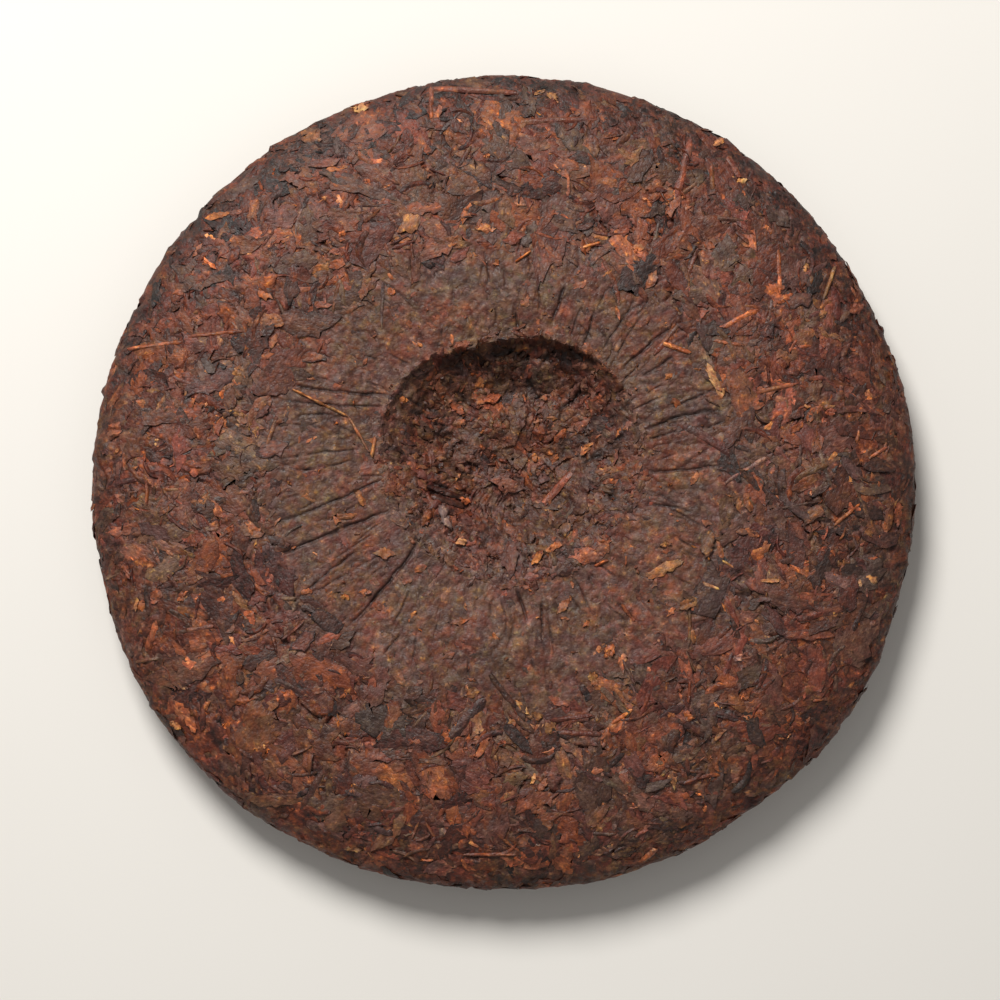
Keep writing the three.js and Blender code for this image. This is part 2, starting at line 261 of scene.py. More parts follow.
FAINT_CREASES = fine_creases(
    FAINT_CREASE_COUNT, HOLLOW_MOUTH - 1, HOLLOW_MOUTH + 21, 4, 13, FAINT_CREASE_WIDTH, FAINT_CREASE_DEPTH,
)
PLEATS = fine_creases(PLEAT_COUNT, 17, 24, 5, 11, PLEAT_WIDTH, PLEAT_DEPTH)
ALL_CREASES = CREASES + FAINT_CREASES + PLEATS


def crease_depth(x, y):
    """How deep the creases cut the skin at a point."""
    depth = np.zeros_like(x)
    for x0, y0, x1, y1, bend, width, deep in ALL_CREASES:
        length = np.hypot(x1 - x0, y1 - y0)
        ux, uy = (x1 - x0) / length, (y1 - y0) / length
        along = ((x - x0) * ux + (y - y0) * uy) / length
        near = (along > -0.05) & (along < 1.05)
        t = along[near]
        wander = bend * 4 * t * (1 - t) + 0.25 * noise(t * length / 2.5, x0)
        off = (-(x[near] - x0) * uy + (y[near] - y0) * ux - wander) / (width * CREASE_SHARPNESS)
        taper = smooth(t * 5 + 0.25) * smooth((1 - t) * 2.2)
        depth[near] = np.maximum(depth[near], deep * taper * np.exp(-off * off))
    return depth


def flakes(x, y, size):
    """Flakes broken at random: each point's flake, its distance from the middle, and from the gap."""
    i, j = np.floor(x / size), np.floor(y / size)
    nearest, second = np.full_like(x, np.inf), np.full_like(x, np.inf)
    off_x, off_y, own = np.zeros_like(x), np.zeros_like(x), np.zeros_like(x)
    for di, dj in np.ndindex(3, 3):
        ci, cj = i + di - 1, j + dj - 1
        dx = x - (ci + 0.5 + 0.45 * lattice(ci, cj)) * size
        dy = y - (cj + 0.5 + 0.45 * lattice(ci + 31, cj + 17)) * size
        turn = pi * lattice(ci + 5, cj + 91)
        along = (dx * np.cos(turn) + dy * np.sin(turn)) / 1.6
        across = (dy * np.cos(turn) - dx * np.sin(turn)) * 1.25
        apart = np.hypot(along, across) + 0.12 * size * lattice(ci + 71, cj + 3)
        nearer = apart < nearest
        second = np.where(nearer, nearest, np.minimum(second, apart))
        nearest = np.where(nearer, apart, nearest)
        off_x, off_y = np.where(nearer, dx, off_x), np.where(nearer, dy, off_y)
        own = np.where(nearer, ci + 57 * cj, own)
    return own, off_x, off_y, second - nearest


def flake_height(x, y, size, step, tilt):
    """Tilted flakes that lie at different heights."""
    own, off_x, off_y, _ = flakes(x, y, size)
    height = step * lattice(own, 2)
    return height + tilt * (off_x * lattice(own, 5) + off_y * lattice(own, 8))


def bent(x, y):
    """Points moved a little, so that what is drawn with them has uneven borders."""
    return x + 1.3 * noise(x / 3.7, y / 3.7 + 20), y + 1.3 * noise(x / 3.7 + 50, y / 3.7)


# How large the flakes of pressed leaf are, and how deep the gaps and torn places between them
PLATE_SIZE = 7.0
FLAKE_SIZE = 3.4
CRUMB_SIZE = 1.7
HOLLOW_FLAKE_SIZE = 4.2
WALL_FLAKE_SIZE = 3.6
GAP_WIDTH = 0.6
GAP_DEPTH = 0.8
PIT_DEPTH = 0.5
TORN_DEPTH = 1.5
# How far from the middle the leaf gets coarser, and then where painted shade darkens it along the edge
COARSE_START = 48
COARSE_END = 74
EDGE_START = 84
EDGE_END = 96
FAR_SIDE = 80


def outward(x, y):
    """From 0 round the hollow, where the leaf is fine, to 1 near the edge, where it is coarse."""
    return smooth((np.hypot(x, y) - COARSE_START) / (COARSE_END - COARSE_START))


def edgeward(x, y):
    """From 0 inside to 1 along the edge."""
    return smooth((np.hypot(x, y) - EDGE_START) / (EDGE_END - EDGE_START))


def upper(y):
    """From 0 at the middle to 1 at the far side, where the leaf is warmer and its painted rim shade darker.
    """
    return smooth(y / FAR_SIDE)


def painted_rim_shade(x, y):
    """How much painted shade darkens the leaf's tint along the edge, most of all at the far side."""
    return (0.04 + 0.18 * upper(y)) * edgeward(x, y)


def gaps(x, y):
    """How far each point lies in a gap between broad pressed leaves, from 0 to 1."""
    gap = flakes(*bent(x, y), PLATE_SIZE)[3]
    kept = smooth(1.4 * noise(x / 5 + 11, y / 5) + 0.75)
    return np.exp(-((gap / GAP_WIDTH) ** 2)) * kept * mix(0.25, 1, outward(x, y))


def pits(x, y):
    """How far each point lies in a gap between the crumbs of the hollow, from 0 to 1."""
    wide = np.exp(-((flakes(*bent(x, y), 3.1)[3] / 0.4) ** 2))
    narrow = np.exp(-((flakes(x + 40, y, CRUMB_SIZE)[3] / 0.25) ** 2))
    inside = smooth((HOLLOW_MOUTH - from_hollow(x, y)[0]) / 5)
    return np.maximum(wide, 0.35 * narrow) * smooth(noise(x / 4 + 31, y / 4) + 0.8) * inside


def under_lip(x, y):
    """How far each point lies in the torn gaps under the hollow's lip, which are cut lower and darkened with
    painted shadow, from 0 to 1.
    """
    away, angle = from_hollow(x, y)
    below = hollow_mouth(angle) - away
    band = smooth(below / 0.8) * smooth((5.5 + 1.5 * noise(x / 3, y / 3 + 7) - below) / 2)
    torn = smooth(0.5 + 1.6 * noise(x / 1.7 + 3, y / 1.4))
    return band * (0.35 + 0.65 * torn) * behind(angle)


def fine_relief(x, y):
    """Relief of the pressed leaf on the core: flakes and the gaps between them."""
    inside = smooth((HOLLOW_MOUTH - from_hollow(x, y)[0]) / 8)
    coarse = outward(x, y)
    plates = flake_height(*bent(x, y), PLATE_SIZE, 0.22, 0.05)
    broad = flake_height(x, y, FLAKE_SIZE, 0.10, 0.07)
    small = flake_height(x + 40, y, CRUMB_SIZE, 0.07, 0.10)
    low = coarse * plates + 0.7 * broad + mix(0.9, 0.7, coarse) * small - GAP_DEPTH * gaps(x, y)
    crumbly = flake_height(*bent(x, y), HOLLOW_FLAKE_SIZE, 0.45, 0.225) + 1.5 * small
    crumbly = crumbly - PIT_DEPTH * pits(x, y) - TORN_DEPTH * under_lip(x, y)
    return mix(low, crumbly, 0.9 * inside)


def wall_relief(x, y):
    """Matted leaf on the hollow's steep wall, drawn along the wall's own length."""
    away, angle = from_hollow(x, y)
    below = hollow_mouth(angle) - away
    down = away - hollow_depth(x, y)
    along_x, along_y = down * np.cos(angle), down * np.sin(angle)
    matted = flake_height(along_x, along_y, WALL_FLAKE_SIZE, 0.22, 0.1)
    matted = matted + flake_height(along_x, along_y, CRUMB_SIZE, 0.08, 0.1)
    steep = (1 + np.cos(angle - STEEP_SIDE)) / 2
    return matted * steep * smooth(below / 1.5) * smooth((STEEP_WALL + 2 - below) / 5)


# Where a point of the skin is: on the back face and the front face by x and y, and on the rim by the
# way along the edge and the way up from the waist

def rim_profile(flatness, rise):
    """The share of the radius at each distance along the skin from the waist."""
    share = 1 - np.linspace(0, 0.999, 4000) ** 2
    height = rise * np.sqrt(1 - share**flatness)
    step = np.hypot(np.diff(share) * CAKE_RADIUS, np.diff(height))
    return np.concatenate([[0], np.cumsum(step)]), share


BACK_PROFILE = rim_profile(BACK_FLATNESS, BACK_RISE)
FRONT_PROFILE = rim_profile(FRONT_FLATNESS, FRONT_DROP)


def back_point(x, y):
    z = back_height(x, y, share_of(x, y)) - crease_depth(x, y)
    return np.stack([x, y, z], -1)


def front_point(x, y):
    """A point of the front face, with x mirrored so that the outward side is the same."""
    return np.stack([-x, y, front_height(-x, y, share_of(-x, y))], -1)


def rim_point(edge, up):
    """A point of the rim or the front, up or down along the skin from the waist."""
    angle = edge / CAKE_RADIUS
    back = np.interp(up, *BACK_PROFILE)
    front = np.interp(-up, *FRONT_PROFILE)
    share = np.where(up >= 0, back, front)
    radius = outline_radius(angle) * share
    x, y = radius * np.cos(angle), radius * np.sin(angle)
    z = np.where(up >= 0, back_height(x, y, share), front_height(x, y, share))
    return np.stack([x, y, z], -1)


def raised(place, a, b, height):
    """Points of the skin, raised along its outward direction."""
    step = 0.35
    point = place(a, b)
    across = np.cross(place(a + step, b) - point, place(a, b + step) - point)
    across /= np.maximum(np.linalg.norm(across, axis=-1, keepdims=True), 1e-9)
    return point + across * height[..., None]


# Meshes

SHARP_ANGLE = radians(50)


def make_piece(name, points, faces, values, material):
    """Add a piece of the cake: points in millimetres, faces and one value list for each attribute."""
    mesh = bpy.data.meshes.new(name)
    mesh.vertices.add(len(points))
    mesh.vertices.foreach_set("co", (points * MM).astype(np.float32).ravel())
    mesh.loops.add(faces.size)
    mesh.loops.foreach_set("vertex_index", faces.astype(np.int32).ravel())
    mesh.polygons.add(len(faces))
    mesh.polygons.foreach_set("loop_start", np.arange(0, faces.size, faces.shape[1], dtype=np.int32))
    mesh.update(calc_edges=True)
    for key, value in values.items():
        kind, field = ("FLOAT", "value") if value.ndim == 1 else ("FLOAT_VECTOR", "vector")
        layer = mesh.attributes.new(key, kind, "POINT")
        layer.data.foreach_set(field, value.astype(np.float32).ravel())
    mesh.shade_smooth()
    mesh.set_sharp_from_angle(angle=SHARP_ANGLE)
    mesh.materials.append(material)
    piece = bpy.data.objects.new(name, mesh)
    bpy.context.scene.collection.objects.link(piece)
    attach(piece, "root")
    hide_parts("tea_cake")


def shell_faces(rows, columns):
    """The four-sided faces of one thin shell: a grid of points above and one below, with one border."""
    def at(i, j, below):
        inner = 0 < i < rows and 0 < j < columns
        return (below * inner * (rows + 1) + i) * (columns + 1) + j

    faces = []
    for i in range(rows):
        for j in range(columns):
            square = [(i, j), (i + 1, j), (i + 1, j + 1), (i, j + 1)]
            faces.append([at(*corner, 0) for corner in square])
            faces.append([at(*corner, 1) for corner in reversed(square)])
    return np.array(faces)


def shells(place, leaves, rows, columns):
    """Thin closed shells laid on the skin. leaves holds one value for each shell: see LEAF_RANGES."""
    count = len(leaves["a"])
    wide = {key: value[:, None, None] for key, value in leaves.items()}
    s = np.linspace(-1, 1, rows + 1)[None, :, None] + np.zeros((count, 1, columns + 1))
    t = np.linspace(-1, 1, columns + 1)[None, None, :] + np.zeros((count, rows + 1, 1))
    inner = np.zeros((rows + 1, columns + 1), bool)
    inner[1:-1, 1:-1] = True

    blunt = mix(wide["head"], wide["tail"], (s + 1) / 2)
    body = (1 - np.abs(s) ** wide["fullness"]) ** 0.6
    ragged = 1 + wide["ragged"] * between(-1, 1, count, rows + 1, 2)
    side = np.where(t > 0, ragged[..., 1:], ragged[..., :1])
    half = wide["width"] / 2 * np.maximum(body, blunt) * side
    torn = wide["slant"] * t * np.abs(s) ** 3 + wide["ragged"] * between(-1, 1, count, rows + 1, columns + 1)
    u = wide["length"] / 2 * s + torn * wide["width"] / 2
    v = half * t + wide["bend"] * (s * s - 0.4)

    edge = np.maximum(np.abs(s) ** 3, np.abs(t))
    ripple = np.sin(s * wide["waves"] + wide["phase"] + 1.3 * t)
    jitter = between(-1, 1, count, rows + 1, columns + 1)
    height = wide["lift"] + wide["arch"] * np.sqrt(np.maximum(1 - t * t, 0)) * (1 - 0.4 * s**4)
    height += wide["roll"] * t + wide["pitch"] * s + wide["curl"] * (t * t - 0.3)
    height += wide["ripple"] * (ripple + 0.9 * jitter) - wide["drop"] * edge**4

    turn_cos, turn_sin = np.cos(wide["turn"]), np.sin(wide["turn"])
    a = wide["a"] + u * turn_cos - v * turn_sin
    b = wide["b"] + u * turn_sin + v * turn_cos
    above = raised(place, a, b, height)
    below = raised(place, a, b, np.minimum(height, wide["lift"]) - wide["thick"])
    points = np.stack([above, below], 1)
    points[..., 2] = np.maximum(points[..., 2], 0)

    kept = np.stack([np.ones_like(inner), inner]).ravel()
    number = np.cumsum(kept) - 1
    per_shell = int(kept.sum())
    shade = wide["shade"]
    # On the back, shade also carries painted shade in the creases, in the gaps between plates and under the
    # hollow's lip.
    if place is back_point:
        shade = shade * (1 - 0.6 * np.clip(crease_depth(a, b) / 0.4, 0, 1)) * (1 - 0.6 * gaps(a, b))
        shade = shade * (1 - 0.7 * under_lip(a, b))
    faces = number[shell_faces(rows, columns)]
    faces = (faces[None] + per_shell * np.arange(count)[:, None, None]).reshape(-1, 4)

    def spread(value):
        both = np.broadcast_to(value[:, None], (count, 2, rows + 1, columns + 1))
        return both.reshape(count, -1)[:, kept].ravel()

    seeds = between(0, 40, count)[:, None, None]
    values = {
        "leaf": np.stack([spread(u), spread(v), spread(seeds)], -1),
        "tint": spread(wide["tint"]),
        "warm": spread(wide["warm"]),
        "gold": spread(wide["gold"]),
        "shade": spread(shade),
        "edge": spread(edge),
    }
    return points.reshape(count, -1, 3)[:, kept].reshape(-1, 3), faces, values


# The values of a leaf besides its place a, b: sizes and heights in millimetres. tint goes from black
# over brown to tan, warm from slate to orange, gold from purple to ochre, and shade multiplies: it
# holds each leaf's own brightness and, on the back, painted shade in creases, gaps and under the lip.
LEAF_RANGES = {
    "turn": (0, 2 * pi),
    "fullness": (2.2, 8),
    "head": (0.25, 0.95),
    "tail": (0.25, 0.95),
    "ragged": (0.1, 0.42),
    "slant": (-0.9, 0.9),
    "bend": (-0.4, 0.4),
    "lift": (0.02, 0.3),
    "arch": (0, 0),
    "roll": (-0.15, 0.15),
    "pitch": (-0.12, 0.12),
    "curl": (-0.12, 0.12),
    "waves": (2, 6),
    "phase": (0, 6.3),
    "ripple": (0.03, 0.1),
    "drop": (0, 0.2),
    "thick": (0.22, 0.32),
    "shade": (0.8, 1.2),
}


def draw_leaves(a, b, length, slimness, tints, **ranges):
    """Values for as many leaves as there are places, drawn from LEAF_RANGES or the ranges given."""
    count = len(a)
    leaves = {key: between(*span, count) for key, span in (LEAF_RANGES | ranges).items()}
    leaves["a"], leaves["b"] = a, b
    longer = random.random(count) ** 1.6
    leaves["length"] = mix(length[0], length[1], longer)
    leaves["width"] = leaves["length"] * between(*slimness, count)
    leaves["bend"] = leaves["bend"] * leaves["length"] * 0.25
    leaves["tint"] = np.interp(random.random(count), np.linspace(0, 1, len(tints)), tints)
    leaves["warm"] = 0.34 * random.standard_normal(count) + 0.45 * noise(a / 8 + 60, b / 8)
    leaves["gold"] = 0.42 * random.standard_normal(count) + 0.45 * noise(a / 7 + 90, b / 7)
    leaves["gold"] = np.minimum(leaves["gold"], 0.35 + 0.6 * leaves["warm"])
    return leaves


def ring_places(count, inner, outer, x=0.0, y=0.0):
    """Places spread evenly over a ring by the golden angle, each moved a little."""
    k = np.arange(count)
    golden_angle = pi * (3 - 5**0.5)
    angle = k * golden_angle + between(-0.25, 0.25, count)
    away = np.sqrt(inner**2 + (outer**2 - inner**2) * (k + random.random(count)) / count)
    return x + away * np.cos(angle), y + away * np.sin(angle)


def edge_places(count, low, high):
    """Places spread along the rim, between two distances up from the waist."""
    golden_share = (5**0.5 - 1) / 2
    edge = 2 * pi * CAKE_RADIUS * ((np.arange(count) * golden_share) % 1)
    return edge, between(low, high, count)


# Colours, as they look under soft daylight

def colour(red, green, blue):
    """A linear colour from the sRGB values that a screen shows."""
    def linear(value):
        value /= 255
        return value / 12.92 if value <= 0.04045 else ((value + 0.055) / 1.055) ** 2.4

    return (linear(red), linear(green), linear(blue), 1.0)


# From the dark of a crevice over the brown of most leaves to orange, gold and tan
TEA_STOPS = [
    (0.00, colour(19, 8, 5)),
    (0.18, colour(51, 25, 17)),
    (0.36, colour(74, 40, 28)),
    (0.50, colour(92, 58, 43)),
    (0.62, colour(108, 72, 55)),
    (0.74, colour(130, 88, 65)),
    (0.86, colour(164, 114, 82)),
    (1.00, colour(207, 160, 116)),
]
# What multiplies it: from slate to orange, from purple to ochre, and from deep painted shade to full light
WARM_STOPS = [
    (0.0, (0.76, 1.15, 1.36, 1.0)),
    (0.5, (1.0, 1.0, 1.0, 1.0)),
    (1.0, (1.5, 0.80, 0.52, 1.0)),
]
GOLD_STOPS = [
    (0.0, (1.03, 0.92, 1.24, 1.0)),
    (0.5, (1.0, 1.0, 1.0, 1.0)),
    (1.0, (1.06, 1.05, 0.54, 1.0)),
]
PAINTED_SHADE_STOPS = [
    (0.0, (0.1, 0.06, 0.05, 1.0)),
    (0.4, (0.46, 0.36, 0.32, 1.0)),
    (0.8, (0.82, 0.78, 0.76, 1.0)),
    (1.0, (1.02, 1.0, 0.98, 1.0)),
]
COMMON_TINTS = [0.26, 0.36, 0.41, 0.44, 0.47, 0.5, 0.52, 0.54, 0.57, 0.64]
MIXED_TINTS = [0.13, 0.27, 0.35, 0.41, 0.46, 0.49, 0.53, 0.57, 0.62, 0.74]
# Darker tints for the hollow's crumbled leaf and the leaves along the edge: partly their own darker colour,
# partly painted shade in the hollow and along the rim.
DARK_TINTS = [0.2, 0.3, 0.36, 0.4, 0.43, 0.45, 0.48, 0.51, 0.55, 0.64]
SHRED_TINTS = [0.2, 0.26, 0.32, 0.36, 0.4, 0.44, 0.5]
BRIGHT_TINTS = [0.62, 0.68, 0.72, 0.76, 0.8, 0.86, 0.95]


# Materials

def add(tree, kind, inputs, **settings):
    """A node with its inputs linked or set."""
    node = tree.nodes.new(kind)
    for key, value in settings.items():
        setattr(node, key, value)
    for key, value in inputs.items():
        if isinstance(value, bpy.types.NodeSocket):
            tree.links.new(value, node.inputs[key])
        else:
            node.inputs[key].default_value = value
    return node


def compute(tree, operation, *values, clamp=False):
    inputs = dict(enumerate(values))
    return add(tree, "ShaderNodeMath", inputs, operation=operation, use_clamp=clamp).outputs[0]


def vector_sum(tree, operation, a, b):
    return add(tree, "ShaderNodeVectorMath", {0: a, 1: b}, operation=operation)


def total(tree, *values):
    """The values added up, one after the other."""
    result = values[0]
    for value in values[1:]:
        result = compute(tree, "ADD", result, value)
    return result


def stretch(tree, value, low, high, to_low=0.0, to_high=1.0):
    inputs = {"Value": value, 1: low, 2: high, 3: to_low, 4: to_high}
    return add(tree, "ShaderNodeMapRange", inputs, clamp=True).outputs[0]


def ramp(tree, value, stops):
    """The colour that a value has between stops."""
    node = add(tree, "ShaderNodeValToRGB", {"Fac": value})
    elements = node.color_ramp.elements
    while len(elements) < len(stops):
        elements.new(0.5)
    for element, (position, shown) in zip(elements, stops):
        element.position = position
        element.color = shown
    return node.outputs["Color"]


def blended(tree, amount, a, b, blend="MIX"):
    inputs = {0: amount, 6: a, 7: b}
    return add(tree, "ShaderNodeMix", inputs, data_type="RGBA", blend_type=blend).outputs[2]


def mapped(tree, vector, scale, shift=(0, 0, 0)):
    inputs = {"Vector": vector, "Scale": scale, "Location": shift}
    return add(tree, "ShaderNodeMapping", inputs).outputs[0]


def cloud(tree, vector, scale, detail=3.0, roughness=0.6, distortion=0.0):
    inputs = {
        "Vector": vector, "Scale": scale, "Detail": detail,
        "Roughness": roughness, "Distortion": distortion,
    }
    return add(tree, "ShaderNodeTexNoise", inputs).outputs[0]


def attribute(tree, name, output="Fac"):
    return add(tree, "ShaderNodeAttribute", {}, attribute_name=name).outputs[output]


# How far the crumbs, patches and clumps of a leaf stray from its own tint, warmth and gold
CRUMB_TINT = 0.09
CRUMB_WARM = 0.05
PATCH_DARK = -0.09
PATCH_LIGHT = 0.2
PATCH_WARM = 0.26
PATCH_PURPLE = -0.32
PATCH_OCHRE = 0.34
CLUMP_GOLD = 0.28
STRETCH = 1.2  # how much longer than wide the grain is
RELIEF = 0.5 * MM


def tea_material(
    name, grain=0.1, speckle=0.45, warmth=0.0, roughness=0.62, bump=0.8, crumbs=1.0,
    stretched=STRETCH, outline=0.5, patchy=1.0,
):
    """Pressed tea: a tint for each leaf, broken into tilted crumbs with a fibrous grain and specks.

    grain, speckle, crumbs and patchy say how strongly the fibres, the specks, the crumbs and the
    patches show. outline sets how strongly painted shade darkens the edges of some leaves, and
    stretched draws the grain lengthwise.
    """
    material = bpy.data.materials.new(name)
    material.use_nodes = True
    tree = material.node_tree
    tree.nodes.clear()

    leaf = attribute(tree, "leaf", "Vector")
    even = mapped(tree, leaf, (1.0, stretched**0.5, stretched**0.5), (11, 5, 3))
    lengthwise = mapped(tree, leaf, (1 / stretched, stretched, stretched))
    fibres = cloud(tree, lengthwise, 1.2, 1.3, 0.55, 0.3)
    patches = add(
        tree, "ShaderNodeTexNoise",
        {"Vector": even, "Scale": 0.28, "Detail": 2.2, "Roughness": 0.6, "Distortion": 0.5},
    )
    patch = patches.outputs[0]
    patch_hues = add(tree, "ShaderNodeSeparateColor", {"Color": patches.outputs["Color"]})
    fuzz = cloud(tree, mapped(tree, leaf, (1.0, stretched, stretched), (7, 3, 5)), 0.8, 2.0, 0.6)

    warped = vector_sum(tree, "ADD", lengthwise, patches.outputs["Color"]).outputs[0]
    crumb = add(tree, "ShaderNodeTexVoronoi", {"Vector": warped, "Scale": 0.8})
    own = crumb.outputs["Color"]
    away = vector_sum(tree, "SUBTRACT", warped, crumb.outputs["Position"]).outputs[0]
    lean = vector_sum(tree, "SUBTRACT", own, (0.5, 0.5, 0.5)).outputs[0]
    facet = vector_sum(tree, "DOT_PRODUCT", away, lean).outputs["Value"]
    crumb_hues = add(tree, "ShaderNodeSeparateColor", {"Color": own})

    clump = stretch(tree, fuzz, 0.56, 0.72)
    tint = total(
        tree, attribute(tree, "tint"),
        stretch(tree, crumb_hues.outputs[0], 0, 1, -CRUMB_TINT * crumbs, CRUMB_TINT * crumbs),
        stretch(tree, fibres, 0.25, 0.75, -grain, grain),
        stretch(tree, patch, 0.3, 0.5, PATCH_DARK * patchy, 0.0),
        stretch(tree, patch, 0.5, 0.7, 0.0, PATCH_LIGHT * patchy),
        compute(tree, "MULTIPLY", clump, speckle * 0.6),
        stretch(tree, fuzz, 0.28, 0.42, -speckle * 0.4, 0.0),
    )
    shown = ramp(tree, tint, TEA_STOPS)

    warm = total(
        tree, compute(tree, "MULTIPLY_ADD", attribute(tree, "warm"), 0.5, 0.5 + warmth),
        stretch(tree, patch_hues.outputs[1], 0.34, 0.66, -PATCH_WARM * patchy, PATCH_WARM * patchy),
        stretch(tree, crumb_hues.outputs[1], 0, 1, -CRUMB_WARM, CRUMB_WARM),
    )
    gold = total(
        tree, compute(tree, "MULTIPLY_ADD", attribute(tree, "gold"), 0.5, 0.5),
        stretch(tree, patch_hues.outputs[2], 0.34, 0.66, PATCH_PURPLE * patchy, PATCH_OCHRE * patchy),
        compute(tree, "MULTIPLY", clump, CLUMP_GOLD),
    )
    shown = blended(tree, 1.0, shown, ramp(tree, warm, WARM_STOPS), "MULTIPLY")
    shown = blended(tree, 1.0, shown, ramp(tree, gold, GOLD_STOPS), "MULTIPLY")

    seed = add(tree, "ShaderNodeSeparateXYZ", {"Vector": leaf}).outputs["Z"]
    chance = add(tree, "ShaderNodeTexWhiteNoise", {"W": seed}, noise_dimensions="1D").outputs["Value"]
    # Painted shade: the edges of some leaves are darkened, and through the shade attribute so are the
    # creases, gaps, pits and torn lip; shade also holds each leaf's own brightness.
    painted_edge_shade = compute(tree, "POWER", attribute(tree, "edge"), 3.0)
    painted_edge_shade = compute(tree, "MULTIPLY", painted_edge_shade, stretch(tree, chance, 0.45, 1, 0.15, outline))
    depth = compute(tree, "MULTIPLY", attribute(tree, "shade"), compute(tree, "SUBTRACT", 1.0, painted_edge_shade))
    shown = blended(tree, 1.0, shown, ramp(tree, depth, PAINTED_SHADE_STOPS), "MULTIPLY")

    relief = total(
        tree, compute(tree, "MULTIPLY", fibres, 0.5), compute(tree, "MULTIPLY", fuzz, 0.9),
        compute(tree, "MULTIPLY", facet, 0.9 * crumbs),
    )
    raised_by = {"Height": relief, "Strength": bump, "Distance": RELIEF}
    normal = add(tree, "ShaderNodeBump", raised_by).outputs["Normal"]
    shader = add(
        tree, "ShaderNodeBsdfPrincipled",
        {
            "Base Color": shown,
            "Roughness": stretch(tree, fibres, 0.3, 0.7, roughness - 0.12, roughness + 0.12),
            "Normal": normal,
            "Specular IOR Level": 0.5,
        },
    )
    output = add(tree, "ShaderNodeOutputMaterial", {})
    tree.links.new(shader.outputs[0], output.inputs["Surface"])
    return material


# The core

CORE_TINT = 0.44
HOLLOW_SECTORS = 360
INNER_SECTORS = 1150
OUTER_SECTORS = 1100
RIM_SECTORS = 640
RIM_START = 0.9  # the back's pieces end near this share of the radius, inside the rim's piece
RIM_TOP = 26  # where the rim's piece starts, as a way up along the skin from the waist
RIM_CLOSE_END = -8  # its rings are close together down to here
RIM_RINGS = 42
FRONT_RINGS = 22
REACH_STEPS = 12
HOLLOW_SHARES = np.linspace(0.012, 1.03, 88)
INNER_SHARES = np.linspace(0, 0.505, 69)
OUTER_SHARES = np.linspace(0.5, 1.03, 73)


def grid_faces(rings, sectors):
    """Four-sided faces between rings of points, each ring closed on itself."""
    ring, sector = np.meshgrid(np.arange(rings - 1), np.arange(sectors), indexing="ij")
    after = (sector + 1) % sectors
    corners = [ring * sectors + sector, (ring + 1) * sectors + sector,
               (ring + 1) * sectors + after, ring * sectors + after]
    return np.stack(corners, -1).reshape(-1, 4)


def core_values(points):
    """The core's attributes, with values of its own for each crumb and each broad plate."""
    x, y = points[:, 0], points[:, 1]
    crumb = flakes(x + 40, y, CRUMB_SIZE)[0]
    plate = flakes(*bent(x, y), PLATE_SIZE)[0]
    coarse = outward(x, y)
    # The tint is darkened along the edge with painted shade, most of all at the far side.
    tint = CORE_TINT - 0.03 * coarse - painted_rim_shade(x, y)
    warm = (0.36 + 0.2 * upper(y) + 0.4 * lattice(plate, 14)) * coarse
    gold = 0.45 * noise(x / 7 + 90, y / 7) + 0.35 * lattice(crumb, 17)
    # shade is painted shade: darker in the creases, in the gaps between plates, in the hollow's pits and in
    # the torn gaps under its lip.
    shade = 1 - 0.75 * np.clip(crease_depth(x, y) / 0.3, 0, 1)
    for depth, darkening in ((gaps, 0.85), (pits, 0.65), (under_lip, 0.75)):
        shade = shade * (1 - darkening * depth(x, y))
    return {
        "leaf": points,
        "tint": tint + 0.05 * noise(x / 6, y / 6) + 0.05 * lattice(crumb, 11),
        "warm": warm + 0.4 * noise(x / 8 + 60, y / 8) + 0.25 * lattice(crumb, 14),
        "gold": (0.2 + 0.2 * upper(y)) * coarse + (1 + 0.4 * coarse) * gold,
        "shade": shade,
        "edge": np.zeros(len(points)),
    }


def core_ring(sectors, share, to_edge):
    """The x and y of one ring, part of the way from the hollow's middle to its mouth or to the edge."""
    angle = np.linspace(0, 2 * pi, sectors, endpoint=False)
    mouth = hollow_mouth(angle)
    if not to_edge:
        return HOLLOW_X + share * mouth * np.cos(angle), HOLLOW_Y + share * mouth * np.sin(angle)
    # The rings' middle isn't the cake's, so how far it is to the edge is found in a few steps
    reach = np.full(sectors, CAKE_RADIUS)
    for _ in range(REACH_STEPS):
        x = HOLLOW_X + reach * np.cos(angle)
        y = HOLLOW_Y + reach * np.sin(angle)
        reach += RIM_START * outline_radius(np.arctan2(y, x)) - np.hypot(x, y)
    away = mix(mouth, reach, share)
    return HOLLOW_X + away * np.cos(angle), HOLLOW_Y + away * np.sin(angle)


def core_surface(name, sectors, shares, to_edge, material):
    """A ring-shaped piece of the back: within the hollow, or from its mouth to the edge."""
    rings = [core_ring(sectors, share, to_edge) for share in shares]
    x = np.concatenate([ring[0] for ring in rings])
    y = np.concatenate([ring[1] for ring in rings])
    points = back_point(x, y) if to_edge else raised(back_point, x, y, wall_relief(x, y))
    points[:, 2] += fine_relief(x, y)
    make_piece(name, points, grid_faces(len(shares), sectors), core_values(points), material)


def core_rim(material):
    """The rounded rim and the domed front, in rings from the back's edge to the middle of the front."""
    lowest = -FRONT_PROFILE[0][-1]
    rim = np.linspace(RIM_TOP, RIM_CLOSE_END, RIM_RINGS)
    front = np.linspace(RIM_CLOSE_END - 1.5, lowest + 0.5, FRONT_RINGS)
    up = np.concatenate([rim, front])
    edge = np.linspace(0, 2 * pi * CAKE_RADIUS, RIM_SECTORS, endpoint=False)
    ups, edges = np.meshgrid(up, edge, indexing="ij")
    edges, ups = edges.ravel(), ups.ravel()
    bumps = flake_height(edges, ups * 1.3, FLAKE_SIZE, 0.25, 0.175)
    points = raised(rim_point, edges, ups, bumps)
    points[:, 2] = np.maximum(points[:, 2], 0)
    make_piece("core_rim", points, grid_faces(len(up), RIM_SECTORS), core_values(points), material)


